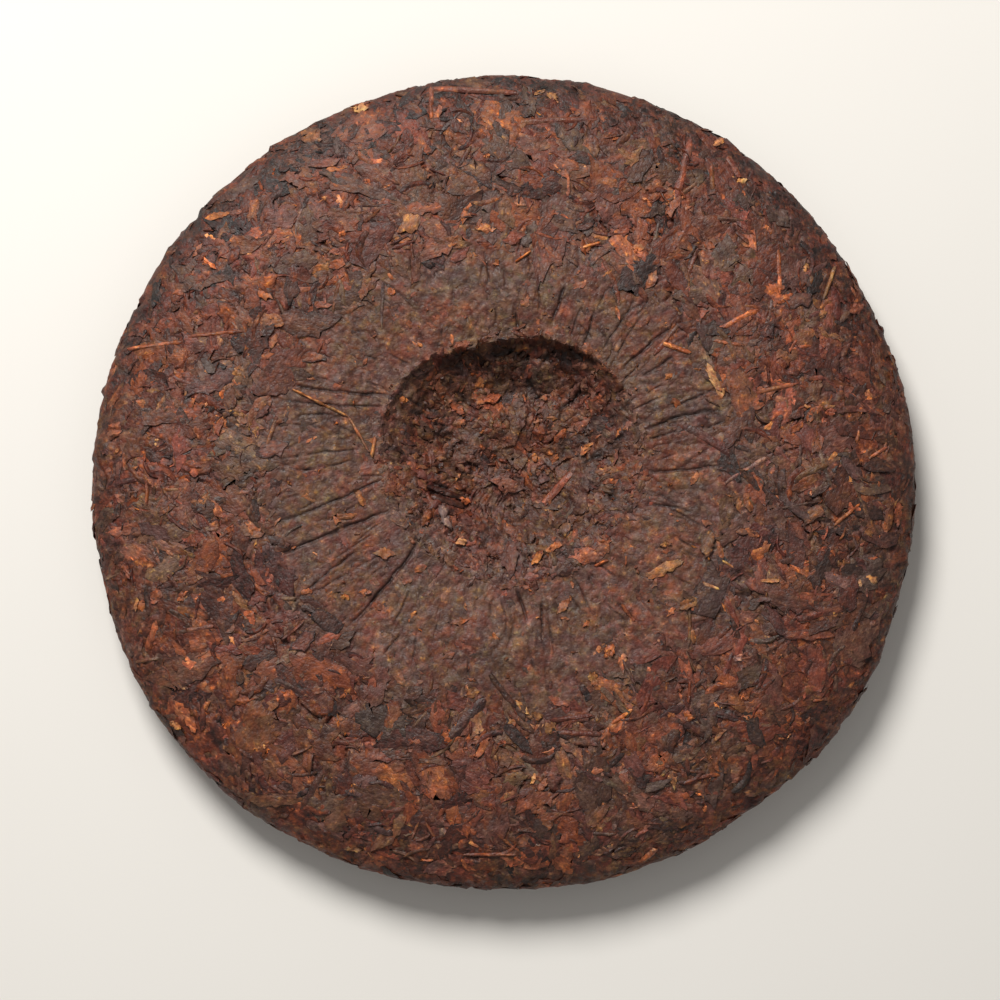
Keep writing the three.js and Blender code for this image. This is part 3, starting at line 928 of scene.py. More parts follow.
def core():
    """The whole skin of pressed leaf, in four pieces."""
    material = tea_material("pressed_leaf", stretched=1.0)
    smooth_leaf = tea_material("smooth_leaf", grain=0.07, speckle=0.36, bump=0.6, crumbs=0.75, stretched=1.0)
    core_surface("core_hollow", HOLLOW_SECTORS, HOLLOW_SHARES, False, material)
    core_surface("core_inner", INNER_SECTORS, INNER_SHARES, True, smooth_leaf)
    core_surface("core_outer", OUTER_SECTORS, OUTER_SHARES, True, material)
    core_rim(material)


# The leaves, and how many there are of each kind

FINE_NEAR_COUNT = 1700
FINE_FAR_COUNT = 1600
MIDDLE_COUNT = 1150
LARGE_COUNT = 280
CRUMB_COUNT = 640
WALL_COUNT = 240
LIP_COUNT = 130
RIM_COUNT = 1150
FRONT_COUNT = 520
STEM_COUNT = 130
SHRED_COUNT = 230
BRIGHT_COUNT = 430


def lay(name, place, leaves, rows, columns, material):
    """One piece of all the leaves of a kind, each a shell with so many rows and columns."""
    make_piece(name, *shells(place, leaves, rows, columns), material)


def crosses_crease(leaves):
    """Which leaves would hide a crease."""
    crossed = np.zeros(len(leaves["a"]), bool)
    for share in (-0.4, 0, 0.4):
        reach = share * leaves["length"]
        x = leaves["a"] + reach * np.cos(leaves["turn"])
        y = leaves["b"] + reach * np.sin(leaves["turn"])
        crossed |= crease_depth(x, y) > 0.12
    return crossed


def redder_outward(leaves):
    """The leaves, warmer towards the edge and most of all at the far side, a little darker in the coarse
    ring and lighter towards the left and right sides, and darkened along the edge with painted shade, most
    of all at the far side.
    """
    x, y = leaves["a"], leaves["b"]
    coarse = outward(x, y)
    warm = leaves["warm"] * (1 + 0.35 * coarse) + (0.37 + 0.3 * upper(y)) * coarse
    gold = leaves["gold"] * (1 + 0.5 * coarse) + (0.24 + 0.34 * upper(y)) * coarse
    return leaves | {
        "tint": leaves["tint"] + (0.04 * smooth(np.abs(x) / 80) - 0.03) * coarse - painted_rim_shade(x, y),
        "warm": warm,
        "gold": np.minimum(gold, 0.4 + 0.6 * warm),
    }


def fine_leaves(smooth_leaf, material):
    """The smallest leaves, close together and pressed flat, round the hollow and over the rest."""
    x, y = ring_places(FINE_NEAR_COUNT, HOLLOW_MOUTH + 1, 66, HOLLOW_X, HOLLOW_Y)
    near = draw_leaves(
        x, y, (0.9, 3.6), (0.35, 0.8), COMMON_TINTS,
        lift=(-0.12, 0.05), roll=(-0.05, 0.05), pitch=(-0.04, 0.04), curl=(-0.06, 0.04),
        ripple=(0.02, 0.06), drop=(0.02, 0.14), thick=(0.2, 0.25), shade=(0.9, 1.1),
    )
    clear = ~crosses_crease(near)
    near = {key: value[clear] for key, value in near.items()}
    lay("fine_leaves_near_hollow", back_point, near, 4, 2, smooth_leaf)
    x, y = ring_places(FINE_FAR_COUNT, 58, 93)
    far = draw_leaves(
        x, y, (1.0, 4.0), (0.25, 0.7), MIXED_TINTS, lift=(-0.12, 0.42), roll=(-0.2, 0.2),
        pitch=(-0.12, 0.12),
    )
    lay("fine_leaves_far", back_point, redder_outward(far), 4, 2, material)


def middle_leaves(material):
    """Leaves of middling size, which make most of what shows further out."""
    x, y = ring_places(MIDDLE_COUNT, 54, 92.5)
    leaves = draw_leaves(
        x, y, (3, 10), (0.25, 0.6), MIXED_TINTS, lift=(-0.12, 0.56), roll=(-0.28, 0.28),
        pitch=(-0.22, 0.22), curl=(-0.22, 0.15), shade=(0.66, 1.18),
    )
    lay("middle_leaves", back_point, redder_outward(leaves), 6, 3, material)


def large_leaves(material):
    """The largest whole leaves, spread thinly over the middling ones."""
    x, y = ring_places(LARGE_COUNT, 58, 91)
    leaves = draw_leaves(
        x, y, (7, 15), (0.3, 0.65), MIXED_TINTS, lift=(0.05, 0.52), roll=(-0.22, 0.22),
        pitch=(-0.18, 0.18), curl=(-0.3, 0.12), ripple=(0.08, 0.22), shade=(0.7, 1.18),
    )
    lay("large_leaves", back_point, redder_outward(leaves), 10, 4, material)


def hollow_leaves(material):
    """Loose crumbled leaf on the floor and the walls of the hollow, in high relief."""
    x, y = ring_places(CRUMB_COUNT, 0.5, 28, HOLLOW_X, HOLLOW_Y)
    leaves = draw_leaves(
        x, y, (1.2, 6.2), (0.2, 0.7), DARK_TINTS, lift=(-0.5, 0.2), roll=(-0.2, 0.2),
        pitch=(-0.2, 0.2), curl=(-0.3, 0.1), ripple=(0.05, 0.22), drop=(0.1, 0.5),
        ragged=(0.25, 0.6), shade=(0.8, 1.15),
    )
    lay("hollow_leaves", back_point, leaves, 5, 3, material)
    x, y = ring_places(WALL_COUNT, 20, 32, HOLLOW_X, HOLLOW_Y)
    leaves = draw_leaves(
        x, y, (1.5, 5.5), (0.3, 0.8), COMMON_TINTS, lift=(-0.3, 0.4), roll=(-0.25, 0.25),
        pitch=(-0.3, 0.3), curl=(-0.4, 0.1), ripple=(0.1, 0.25), drop=(0.1, 0.5), shade=(0.75, 1.15),
    )
    lay("wall_leaves", back_point, leaves, 6, 4, material)


def lip_leaves(material):
    """Leaves that lie along the hollow's lip and over it."""
    direction = np.linspace(0, 2 * pi, LIP_COUNT, endpoint=False) + between(-0.03, 0.03, LIP_COUNT)
    away = hollow_mouth(direction) + between(-1.3, 0.5, LIP_COUNT)
    x, y = HOLLOW_X + away * np.cos(direction), HOLLOW_Y + away * np.sin(direction)
    leaves = draw_leaves(
        x, y, (1.2, 4.2), (0.35, 0.8), COMMON_TINTS, lift=(-0.15, 0.3), roll=(-0.3, 0.3),
        pitch=(-0.15, 0.15), ragged=(0.25, 0.6), ripple=(0.05, 0.2), shade=(0.75, 1.1),
    )
    leaves["turn"] = direction + pi / 2 + between(-0.6, 0.6, LIP_COUNT)
    lay("lip_leaves", back_point, leaves, 5, 3, material)


def rim_leaves(material):
    """Leaves that lie along the edge and over it."""
    edge, up = edge_places(RIM_COUNT, -10, 15)
    leaves = draw_leaves(
        edge, up, (3, 10), (0.2, 0.5), DARK_TINTS, turn=(-0.8, 0.8), lift=(-0.12, 0.3),
        roll=(-0.2, 0.2), pitch=(-0.12, 0.12), ripple=(0.05, 0.14),
    )
    far = upper(CAKE_RADIUS * np.sin(edge / CAKE_RADIUS))
    # The tint is darkened with painted shade along the rim, most of all at the far side; warm and gold are
    # the leaves' own colour.
    leaves |= {
        "tint": leaves["tint"] - 0.06 - 0.15 * far,
        "warm": leaves["warm"] + 0.2 + 0.15 * far,
        "gold": leaves["gold"] + 0.15 + 0.35 * far,
    }
    lay("rim_leaves", rim_point, leaves, 6, 3, material)


def front_leaves(material):
    """The domed front, under the cake: larger leaves pressed flat."""
    x, y = ring_places(FRONT_COUNT, 4, 88)
    leaves = draw_leaves(
        x, y, (7, 18), (0.3, 0.6), COMMON_TINTS, lift=(-0.1, 0.15), roll=(-0.08, 0.08),
        thick=(0.3, 0.4),
    )
    lay("front_leaves", front_point, leaves, 5, 3, material)


def stems(material, dark):
    """Stalks and tightly rolled shreds."""
    x, y = ring_places(STEM_COUNT, 50, 92)
    shapes = {"fullness": (8, 12), "head": (0.5, 0.8), "tail": (0.3, 0.8), "ragged": (0.02, 0.12)}
    leaves = draw_leaves(
        x, y, (4, 14), (0.07, 0.16), COMMON_TINTS, arch=(0.12, 0.35), lift=(-0.05, 0.2),
        roll=(-0.05, 0.05), curl=(0, 0), drop=(0, 0.1), bend=(-0.2, 0.2), **shapes,
    )
    lay("stems", back_point, leaves, 8, 4, material)

    x, y = ring_places(SHRED_COUNT, 60, 94)
    leaves = draw_leaves(
        x, y, (3.5, 10), (0.13, 0.26), SHRED_TINTS, arch=(0.2, 0.45), lift=(0.05, 0.4),
        roll=(-0.1, 0.1), curl=(-0.15, 0), drop=(0, 0.15), bend=(-0.9, 0.9), **shapes,
    )
    leaves["turn"] = np.arctan2(y, x) + pi / 2 + 0.6 * random.standard_normal(SHRED_COUNT)
    lay("shreds", back_point, redder_outward(leaves), 7, 3, dark)


def bright_pieces(material):
    """Golden, orange and tan bits."""
    x, y = ring_places(BRIGHT_COUNT, 6, 94)
    leaves = draw_leaves(
        x, y, (0.7, 3.6), (0.2, 0.7), BRIGHT_TINTS, arch=(0.0, 0.2), lift=(0.05, 0.36),
        ragged=(0.3, 0.7), ripple=(0.08, 0.25),
    )
    leaves["tint"] -= 0.1 * (1 - outward(x, y))
    leaves["gold"] = 0.3 + 0.35 * leaves["gold"]
    leaves["warm"] = 0.1 + (0.25 + 0.35 * outward(x, y)) * np.abs(leaves["warm"])
    lay("bright_pieces", back_point, leaves, 5, 2, material)


# Leaves and stems that stand out. Each has x, y, length and width in millimetres, the degrees it is
# turned by, and its tint, warm and gold
MARKED_LEAVES = [
    (-34.5, 85, 12, 8.5, 20, 0.56, 0.7, 0.2),
    (-35, 91, 3.5, 2, 0, 0.92, 0.0, 0.2),
    (9, 80.5, 10, 7, 0, 0.5, 0.55, -0.1),
    (12, 59.5, 22, 8, 80, 0.5, 0.3, -0.5),
    (53, 82.9, 3.2, 2, 30, 0.8, 0.4, 0.3),
    (58.2, 72.6, 2.6, 1.2, 10, 0.95, 0.1, 0.3),
    (58.7, 67.2, 5.5, 4, 30, 0.38, -0.9, -0.2),
    (66.8, 64.1, 6.5, 4, -30, 0.38, -0.9, -0.2),
    (38, 65.4, 4.5, 3, 60, 0.42, -0.8, -0.1),
    (46.5, 72.9, 5, 4, 10, 0.4, -0.7, 0.1),
    (53.7, 54.1, 7, 6, 100, 0.43, -0.7, 0.1),
    (70.2, 50.3, 8, 6, 80, 0.44, 0.0, -0.5),
    (32.7, 62.2, 6.5, 2.6, -40, 0.55, 0.9, -0.2),
    (28.3, 60, 5, 3, 10, 0.57, 0.9, -0.3),
    (25.5, 66.6, 8.5, 5.5, 85, 0.45, 0.3, -0.8),
    (36.8, 71, 4.5, 2.6, 30, 0.58, 0.6, 0.5),
    (29.5, 77.8, 5, 5.5, 40, 0.6, 0.2, 0.9),
    (31.7, 55.4, 2.6, 1.3, -50, 0.76, 1.0, 0.4),
    (49.9, 56.3, 2.6, 1.8, 0, 0.72, 1.0, 0.3),
    (35.9, 47.8, 4.2, 2.4, 70, 0.76, 0.4, 0.0),
    (65.6, 45.6, 5.5, 4.5, 80, 0.74, 1.0, 0.2),
    (68.2, 43.4, 4.5, 1.6, 30, 0.8, 0.9, 0.2),
    (51.2, 23.2, 8, 2.2, -60, 0.86, 0.0, 0.4),
    (38.8, -22, 9, 2.6, 25, 0.76, 0.1, 0.7),
    (87.6, -25.1, 5.5, 3, 20, 0.88, 0.1, 0.2),
    (80, -32.7, 3.5, 2, 0, 0.82, 0.2, 0.2),
    (63.9, -24.9, 5, 1, 0, 0.82, 0.2, 0.6),
    (84.6, -39, 18, 8.5, 60, 0.47, 0.1, -0.1),
    (-76.3, -57.3, 8, 2.5, -50, 0.72, 0.8, 0.3),
    (-52.7, -52.9, 3.5, 3, 0, 0.75, 0.8, 0.3),
    (-56.8, -46.3, 8, 6, 30, 0.55, 0.7, 0.0),
    (-16.5, -71.5, 12.5, 7.5, 110, 0.62, 0.8, 0.3),
    (-7.8, -71.8, 10.5, 8, -15, 0.46, 0.7, -0.7),
    (-13, -62.5, 3.8, 3.4, 20, 0.72, 0.9, 0.3),
    (-12.2, -80, 7, 3, 95, 0.64, 0.8, 0.5),
    (-5.2, -63.8, 6, 2.8, 65, 0.6, 0.9, 0.4),
    (-7.4, -52, 3, 2.8, 0, 0.72, 0.2, 0.8),
    (4.7, -55.3, 4.4, 1.3, -50, 0.93, 0.0, 0.2),
    (7.8, -57.4, 3.4, 2.2, -10, 0.68, 0.2, 0.8),
    (11.5, -59.7, 3, 4, 20, 0.63, 0.2, 0.9),
    (25.4, -41.8, 3, 2.6, 30, 0.78, 0.6, 0.6),
    (21.7, -48.4, 2, 3.4, 10, 0.78, 0.2, 0.6),
    (2.9, -72.2, 5.2, 3, 0, 0.6, -0.5, 0.6),
    (7.9, -77.8, 7, 6, 40, 0.55, 0.8, 0.0),
    (14.8, -76.6, 8, 3.6, 75, 0.58, 0.8, 0.5),
    (27.4, -59.4, 4.5, 2.6, 40, 0.74, 0.9, 0.4),
    (37.1, -68, 6, 5.5, 20, 0.6, 0.9, 0.2),
    (42, -77, 7, 3, 0, 0.62, 0.9, 0.2),
    (8, -91, 7, 5, 10, 0.6, 0.9, 0.2),
    (14, -91.5, 6, 5, -30, 0.62, 0.9, 0.3),
    (6.2, 92.4, 8, 3, -80, 0.4, -0.8, 0.1),
    (-3.2, 87.8, 5, 3.6, 60, 0.74, 0.5, 0.6),
    (2.3, 86, 6.5, 3.2, 0, 0.62, 0.7, 0.5),
    (9, 94.6, 2, 1.6, 0, 0.84, 0.0, 0.4),
    (12, 93.6, 3, 1.6, -30, 0.76, 0.1, 0.5),
    (14.5, 76.2, 8.5, 3.6, -5, 0.56, 0.7, 0.2),
    (16.9, 82.3, 8, 5, -55, 0.5, -0.6, 0.3),
    (1, 78.7, 4.5, 3, 20, 0.34, -0.8, 0.0),
    (-3.9, 78.3, 1.7, 1.2, 0, 0.84, 0.7, 0.1),
    (-1.7, 79.3, 1.6, 1.2, 60, 0.82, 0.7, 0.1),
    (-8.8, 64.1, 3.8, 2.2, 80, 0.76, 0.8, 0.5),
    (-3.9, 60.5, 3.6, 2.6, 20, 0.78, 0.5, 0.5),
    (-19, 65.4, 9, 3.4, 10, 0.62, 0.7, 0.2),
    (-15.4, 57.3, 9, 7, 30, 0.55, 0.6, -0.1),
    (-12, 57.3, 3, 2.2, 70, 0.72, 0.6, 0.5),
    (6.6, 59.3, 7, 3, 60, 0.5, -0.9, -0.4),
    (2.6, 58, 3.6, 3, 0, 0.58, 1.0, -0.2),
    (9, 63.2, 2, 1.4, 80, 0.74, 0.9, 0.3),
    (20.5, 61, 4.5, 3, 70, 0.46, -0.9, -0.4),
    (11.2, 72, 1.7, 1.4, 0, 0.76, 0.7, 0.5),
    (95.5, -8.5, 5.5, 2, 80, 0.62, 0.9, 0.0),
    (59.5, -39.5, 2.6, 1.4, -40, 0.66, 1.0, 0.0),
    (74.1, -37.8, 14, 2.4, 4, 0.5, 0.8, 0.0),
    (59.5, -13.4, 4.5, 1.4, -25, 0.66, 0.6, 0.5),
    (77, -26, 2, 1.6, 60, 0.7, 0.8, 0.4),
    (71.2, -22.6, 5, 1.8, -30, 0.64, 0.8, 0.3),
    (88, -13.4, 2.6, 2, 0, 0.62, 0.1, 0.8),
    (38.6, -61, 9, 5, 10, 0.55, 0.9, 0.1),
    (43.8, -57.3, 3, 2.4, 0, 0.74, 0.7, 0.6),
    (40.4, -56.7, 2.2, 1.6, 40, 0.74, 0.7, 0.6),
    (60.2, -57, 5.5, 1.8, 12, 0.66, 0.8, 0.5),
    (58, -52.2, 3, 2.6, 20, 0.6, 0.8, 0.5),
    (50, -54, 9.5, 7, 35, 0.44, -0.2, -0.1),
    (34.6, -47.6, 7.5, 5.5, -30, 0.42, -0.6, 0.0),
    (58.8, -48, 7.5, 4.5, 35, 0.4, -0.7, 0.1),
    (50.5, -74.9, 5, 4, 60, 0.52, 0.8, 0.0),
    (64.4, -50, 11, 4.5, -75, 0.46, 0.4, -0.5),
    (70.5, -58.5, 3, 2.5, 10, 0.64, 0.8, 0.3),
    (-71, 25.9, 2, 1.2, 0, 0.94, 0.2, 0.3),
    (-64.1, 15.4, 4, 1.6, -30, 0.8, -0.1, 0.7),
    (-60, 11.7, 3.5, 2, -50, 0.74, 0.0, 0.8),
    (-69.8, 12.9, 6, 1.8, -70, 0.6, 0.8, -0.1),
    (-66.6, 7.3, 8.5, 2.6, 20, 0.38, -0.9, 0.0),
    (-64.1, 25.1, 3, 2.5, 50, 0.74, 0.1, 0.7),
    (-83.7, 8.8, 1.7, 1.2, 70, 0.95, 0.0, 0.3),
    (-55.9, 38, 6, 3, -10, 0.66, 0.5, 0.5),
    (-73.4, 39, 4, 3.4, 20, 0.58, 0.8, 0.0),
    (-77.6, 46.3, 4.5, 3, 30, 0.62, 0.8, 0.2),
    (-87.6, 36.3, 5, 4, 40, 0.52, 0.7, -0.1),
    (-64.9, 20.7, 4.5, 2.5, -40, 0.5, 0.0, 0.5),
    (-94, 11.7, 4, 3, 80, 0.6, 0.8, 0.0),
    (-84.6, 21, 3, 1.2, 10, 0.76, 0.0, 0.6),
    (-35, 71, 20, 3.2, -24, 0.42, -0.5, -0.1),
    (-41.2, 75.4, 6.5, 1.7, 0, 0.76, 0.7, 0.5),
    (-33, 71.7, 2, 1.8, 0, 0.72, 1.0, 0.5),
    (-64, 71, 11, 3, 33, 0.42, -0.3, 0.0),
    (-68.5, 57.6, 6.5, 4.5, 45, 0.62, 0.7, -0.3),
    (-69.8, 64.1, 6, 1.6, 5, 0.7, 0.6, 0.6),
    (-60.7, 65.4, 5.5, 2.5, 80, 0.64, 0.6, 0.4),
    (-57, 58.5, 4, 3, -60, 0.68, 0.7, 0.1),
    (-61.4, 54.3, 3, 1.3, 90, 0.92, 0.2, 0.4),
    (-39.5, 54.9, 5, 2, 0, 0.6, 0.9, -0.2),
    (-38.8, 58.5, 2.5, 1.7, 90, 0.74, 0.8, 0.4),
    (-55, 63.4, 9, 7, 10, 0.48, 0.4, -0.6),
    (-39.8, 62.2, 11, 6, 0, 0.52, 0.3, 0.1),
    (-50.7, 52, 11, 5, 10, 0.44, -0.5, -0.1),
    (-40.7, 81.7, 6, 2, -75, 0.42, -0.9, -0.2),
    (-47, 84, 5, 4.4, 0, 0.6, 0.3, 0.7),
    (-49, 73.2, 7, 5, 20, 0.52, 0.5, -0.1),
    (-27, 45, 2, 1.8, 0, 0.72, 0.8, 0.4),
    (-34.4, 47.3, 5.5, 1.8, 10, 0.62, 0.0, 0.8),
    (-34.4, -4.9, 4.5, 1.6, -60, 0.7, 0.4, 0.7),
    (-37.8, -9.5, 5, 1.5, 5, 0.68, 0.4, 0.7),
    (-28.5, -18.3, 3.6, 2.4, -20, 0.64, 0.3, 0.7),
    (-33.1, -27.7, 2.2, 1.6, 20, 0.72, 0.8, 0.5),
    (75.1, 15.6, 5, 2.2, 55, 0.68, 0.9, 0.2),
    (79.1, 15.9, 3, 1.8, 0, 0.62, 1.0, -0.1),
    (84.5, 17.3, 10, 3, 5, 0.43, 0.6, -0.2),
    (80.3, 9.8, 9.5, 7.5, 20, 0.43, 0.3, -0.4),
    (74.9, 20.7, 5.5, 3.5, 70, 0.5, 0.1, 0.5),
    (71, 12.2, 3.5, 2, 30, 0.7, 0.9, 0.2),
    (77.8, 41.2, 5, 1.8, 75, 0.7, 0.3, 0.7),
    (86.1, 41.5, 4, 2.5, 50, 0.62, 0.8, 0.2),
    (80.3, 34.4, 5, 1.6, -20, 0.64, 0.2, 0.7),
    (89.8, -1, 4, 2, -60, 0.7, 0.4, 0.5),
    (-8, -84.4, 5, 2, -10, 0.6, 0.9, 0.2),
    (-21.5, -63.9, 5, 3, 60, 0.55, 0.8, 0.1),
    (-30, -68.8, 12, 7, 0, 0.5, 0.6, 0.1),
    (-38.3, -71.7, 2, 1.5, 0, 0.84, 0.3, 0.7),
    (-35.6, -74.4, 3, 1.5, 60, 0.76, 0.4, 0.6),
    (-33.7, -84.1, 3, 2, 80, 0.58, 0.9, 0.0),
    (-30, -92, 8, 3.5, 10, 0.52, 0.7, 0.1),
    (2.3, -91.7, 4, 3, 0, 0.62, 0.9, 0.2),
    (-31, -79.9, 12, 9, 20, 0.4, -0.3, 0.0),
    (0.5, -77.5, 9, 5, 60, 0.47, 0.4, -0.2),
    (24.5, -62.5, 4, 2, 60, 0.74, 0.7, 0.4),
    (9.5, -73.7, 4, 1.5, 60, 0.62, 0.8, 0.3),
    (22.4, -84.1, 4, 2.5, 10, 0.62, 0.2, 0.6),
    (-0.2, -63.9, 1.8, 1.5, 0, 0.66, 1.0, -0.3),
    (-2.7, -84, 12, 7, 50, 0.44, 0.2, -0.5),
    (20.5, -88.3, 7, 4, 50, 0.34, -0.5, 0.0),
    (44.4, -30.5, 4.5, 2.2, 20, 0.62, 0.1, 0.8),
    (45.4, -38, 4, 1.6, -70, 0.72, 0.3, 0.4),
    (14.5, -31, 4, 2, 60, 0.66, 0.4, 0.3),
    (38.9, -16.2, 2.5, 1.3, 20, 0.74, 0.2, 0.5),
    (49.3, -15.9, 6, 3, 70, 0.58, 0.1, 0.7),
    (-69.3, -6.7, 6.5, 2, -65, 0.66, 0.8, 0.2),
    (-73.4, -6.1, 3, 1.5, 0, 0.68, 0.2, 0.6),
    (-90.7, -12.5, 10, 2.5, 8, 0.55, 0.8, 0.0),
    (-95.5, -7.9, 4, 3, 80, 0.56, 0.9, -0.1),
    (-65.4, -12.5, 3, 2, 30, 0.62, 1.0, 0.1),
    (-60.2, -12.2, 4, 3, -45, 0.72, 0.7, 0.4),
    (-86.4, -20.7, 3.5, 3, 20, 0.74, 0.7, 0.4),
    (-90.7, -22.4, 4, 1.5, -60, 0.64, 0.8, 0.1),
    (-94.1, -23.2, 4, 1.3, 25, 0.6, -0.6, 0.0),
    (-88.3, -30.5, 3, 1, 80, 0.82, 0.3, 0.5),
    (-83.4, -28.5, 3.5, 2.5, 45, 0.6, 0.8, 0.1),
    (-77, -28.5, 3, 1.5, 60, 0.66, 0.8, 0.3),
    (-72.2, -23.7, 3, 1.5, 10, 0.62, 0.2, 0.6),
    (-81, -21.2, 3, 2, 70, 0.52, 0.9, -0.3),
    (-62.9, -29.8, 5, 2, -40, 0.6, 0.2, 0.6),
    (-71.5, -55.1, 3, 1.5, 60, 0.7, 0.7, 0.3),
    (-78.8, -59.5, 3, 1.5, -30, 0.8, 0.3, 0.6),
    (-57.6, -64.6, 2, 1.5, 0, 0.8, 0.3, 0.6),
    (-44.1, -65.1, 4, 2.5, 0, 0.58, 1.0, 0.1),
    (-45.9, -51.7, 5, 1.5, 10, 0.62, 0.4, 0.5),
    (-54.4, -77.3, 12, 3, 5, 0.54, 0.1, 0.4),
    # in the hollow
    (-14.2, -9.4, 6, 2.3, -73, 0.72, -1.15, -1.1),
    (-9.4, -5.3, 2.2, 1.6, -15, 0.8, 0.9, 0.4),
    (-18.5, -9.8, 4, 2.4, 80, 0.6, 0.8, 0.5),
    (-2.7, 20, 4, 3, 40, 0.66, 1.0, 0.1),
    (-11.2, 17.3, 3.4, 2, -20, 0.68, 1.0, 0.3),
    (-10, 32, 4, 2.2, 10, 0.6, 1.0, 0.2),
    (19.8, -18.8, 6, 4.4, 20, 0.7, 0.6, -0.3),
    (12.7, 5.1, 2.6, 1.3, 50, 0.72, 0.6, 0.7),
    (7.8, 5.6, 2.2, 1.4, 90, 0.7, 0.6, 0.7),
    (8.3, -19.5, 3.6, 1.5, 60, 0.78, 0.6, 0.6),
    (12.2, -17, 4, 1.6, 30, 0.74, 0.6, 0.6),
    (-10.2, -15.6, 2.4, 1.5, 0, 0.84, 0.0, 0.3),
    (1.7, -19.3, 8, 4, 80, 0.42, 0.2, -0.6),
    (1, -1, 6, 5, 0, 0.6, 0.5, -0.4),
]
MARKED_STEMS = [
    (-6.9, 95.2, 21, 1.5, -4, 0.5, 0.6, 0.1),
    (11.2, 87.2, 23.5, 1.5, 2, 0.45, 0.5, 0.0),
    (-17.5, 92, 8.5, 1.2, 90, 0.54, 0.8, 0.0),
    (-9.3, 78, 5.5, 1.3, 65, 0.38, 0.0, -0.3),
    (4.8, 53.4, 4.5, 0.6, 35, 0.75, 0.7, 0.4),
    (21.2, 56.3, 5, 0.8, 15, 0.82, 0.4, 0.5),
    (82.8, -9, 8, 0.9, 39, 0.76, 0.6, 0.4),
    (54, -21, 3, 0.7, -30, 0.85, 0.2, 0.3),
    (44.6, -51.5, 5.5, 0.8, 85, 0.56, 1.0, 0.0),
    (-14, -3.3, 9.5, 1.4, -17, 0.26, 0.1, 0.0),
    (-13.6, -5.6, 8, 1.2, -17, 0.3, 0.1, 0.0),
    (44, 75.5, 15.5, 2.1, 75, 0.52, 0.8, -0.5),
    (43.3, 58.5, 8.5, 1.6, 58, 0.5, 0.4, -0.4),
    (56.3, 76, 6, 1.6, -60, 0.5, 0.8, 0.0),
    (50.9, 73.2, 6, 1.2, 90, 0.62, 0.2, 0.4),
    (66.9, 50.6, 12, 1.3, 92, 0.7, 0.9, 0.2),
    (79.3, 47.6, 9, 1.0, 70, 0.66, -0.1, 1.0),
    (57.2, 38.4, 9.5, 1.7, 28, 0.74, 0.8, 0.3),
    (42, 31.2, 7, 1.1, -20, 0.8, 0.5, 0.4),
    (54.4, 32.4, 7, 1.0, -10, 0.72, 0.7, 0.3),
    (66.6, 21.7, 9.5, 1.2, 12, 0.68, 0.8, 0.3),
    (70, 31.7, 4, 1.0, 60, 0.66, 1.0, 0.1),
    (73.7, 1.2, 9, 1.8, 25, 0.55, -0.3, 0.8),
    (50.2, -26.4, 4.8, 1.0, -20, 0.85, 0.1, 0.4),
    (55, -32.5, 7.6, 2.0, -66, 0.48, 0.9, -0.2),
    (-84.3, 32.2, 13.5, 1.1, 6, 0.66, 0.7, 0.3),
    (-69, 34.8, 14.5, 1.1, 5, 0.6, 0.7, 0.2),
    (-44, 17.9, 15, 0.7, -26, 0.72, 0.2, 0.5),
    (-34.8, 10.4, 9.8, 0.7, -60, 0.72, 0.2, 0.5),
    (-31.2, 7.3, 5, 0.9, 80, 0.76, 0.3, 0.7),
    (-8.6, -58, 13, 2.4, 48, 0.3, -0.5, -0.3),
    (16.5, -57.8, 10, 1.4, 8, 0.42, 0.7, -0.3),
    (18, -61.5, 11, 1.6, -3, 0.38, 0.5, -0.3),
    (28.5, -57.5, 6, 1.0, 35, 0.78, 0.8, 0.4),
    (13.4, -2.1, 10.2, 1.7, 48, 0.56, 0.6, -0.5),
    (71.8, 31.5, 5.5, 1.0, 10, 0.68, 1.0, 0.2),
    (90.7, 6.1, 5.5, 0.9, 33, 0.66, 0.8, 0.1),
    (85.6, 9.8, 3, 0.9, 75, 0.7, 0.6, 0.5),
    (-21, -84.7, 4.5, 0.7, 65, 0.62, 0.5, 0.2),
    (-17.3, -84.7, 4.5, 0.7, -60, 0.62, 0.5, 0.2),
    (-3.2, -90.4, 12.5, 0.9, 0, 0.5, 0.5, 0.0),
    (35.2, -90.5, 4.5, 1.4, 42, 0.76, 0.5, 0.3),
    (30, -32.7, 5, 0.7, -55, 0.7, 0.7, 0.2),
    (23.7, -20.7, 3.5, 0.8, 25, 0.62, 0.9, 0.1),
    (-85.8, -3.7, 6, 0.9, 90, 0.66, 0.6, 0.2),
    (-80, -3, 4, 1, 0, 0.66, 0.2, 0.6),
    (-84.4, -37.8, 8.5, 1.8, 72, 0.64, 0.8, 0.2),
    (-73.9, -36.6, 9, 1.5, 10, 0.5, 0.3, 0.0),
    (-85.6, -43.9, 6, 1, 10, 0.52, -0.1, 0.2),
    (-72.7, -42.9, 5, 0.9, 28, 0.6, 0.5, 0.2),
    (-45.9, -75.6, 10, 2, 60, 0.36, -0.3, 0.0),
]


def marked(rows, **ranges):
    """The leaves of one list, with their heights and outlines drawn like those of the rest."""
    x, y, length, width, degrees, tint, warm, gold = np.array(rows, float).T
    leaves = draw_leaves(x, y, (1, 1), (1, 1), COMMON_TINTS, **ranges)
    leaves |= {"length": length, "width": width, "turn": np.radians(degrees)}
    return leaves | {"tint": tint, "warm": 0.85 * warm, "gold": gold, "bend": 0.03 * length * leaves["bend"]}


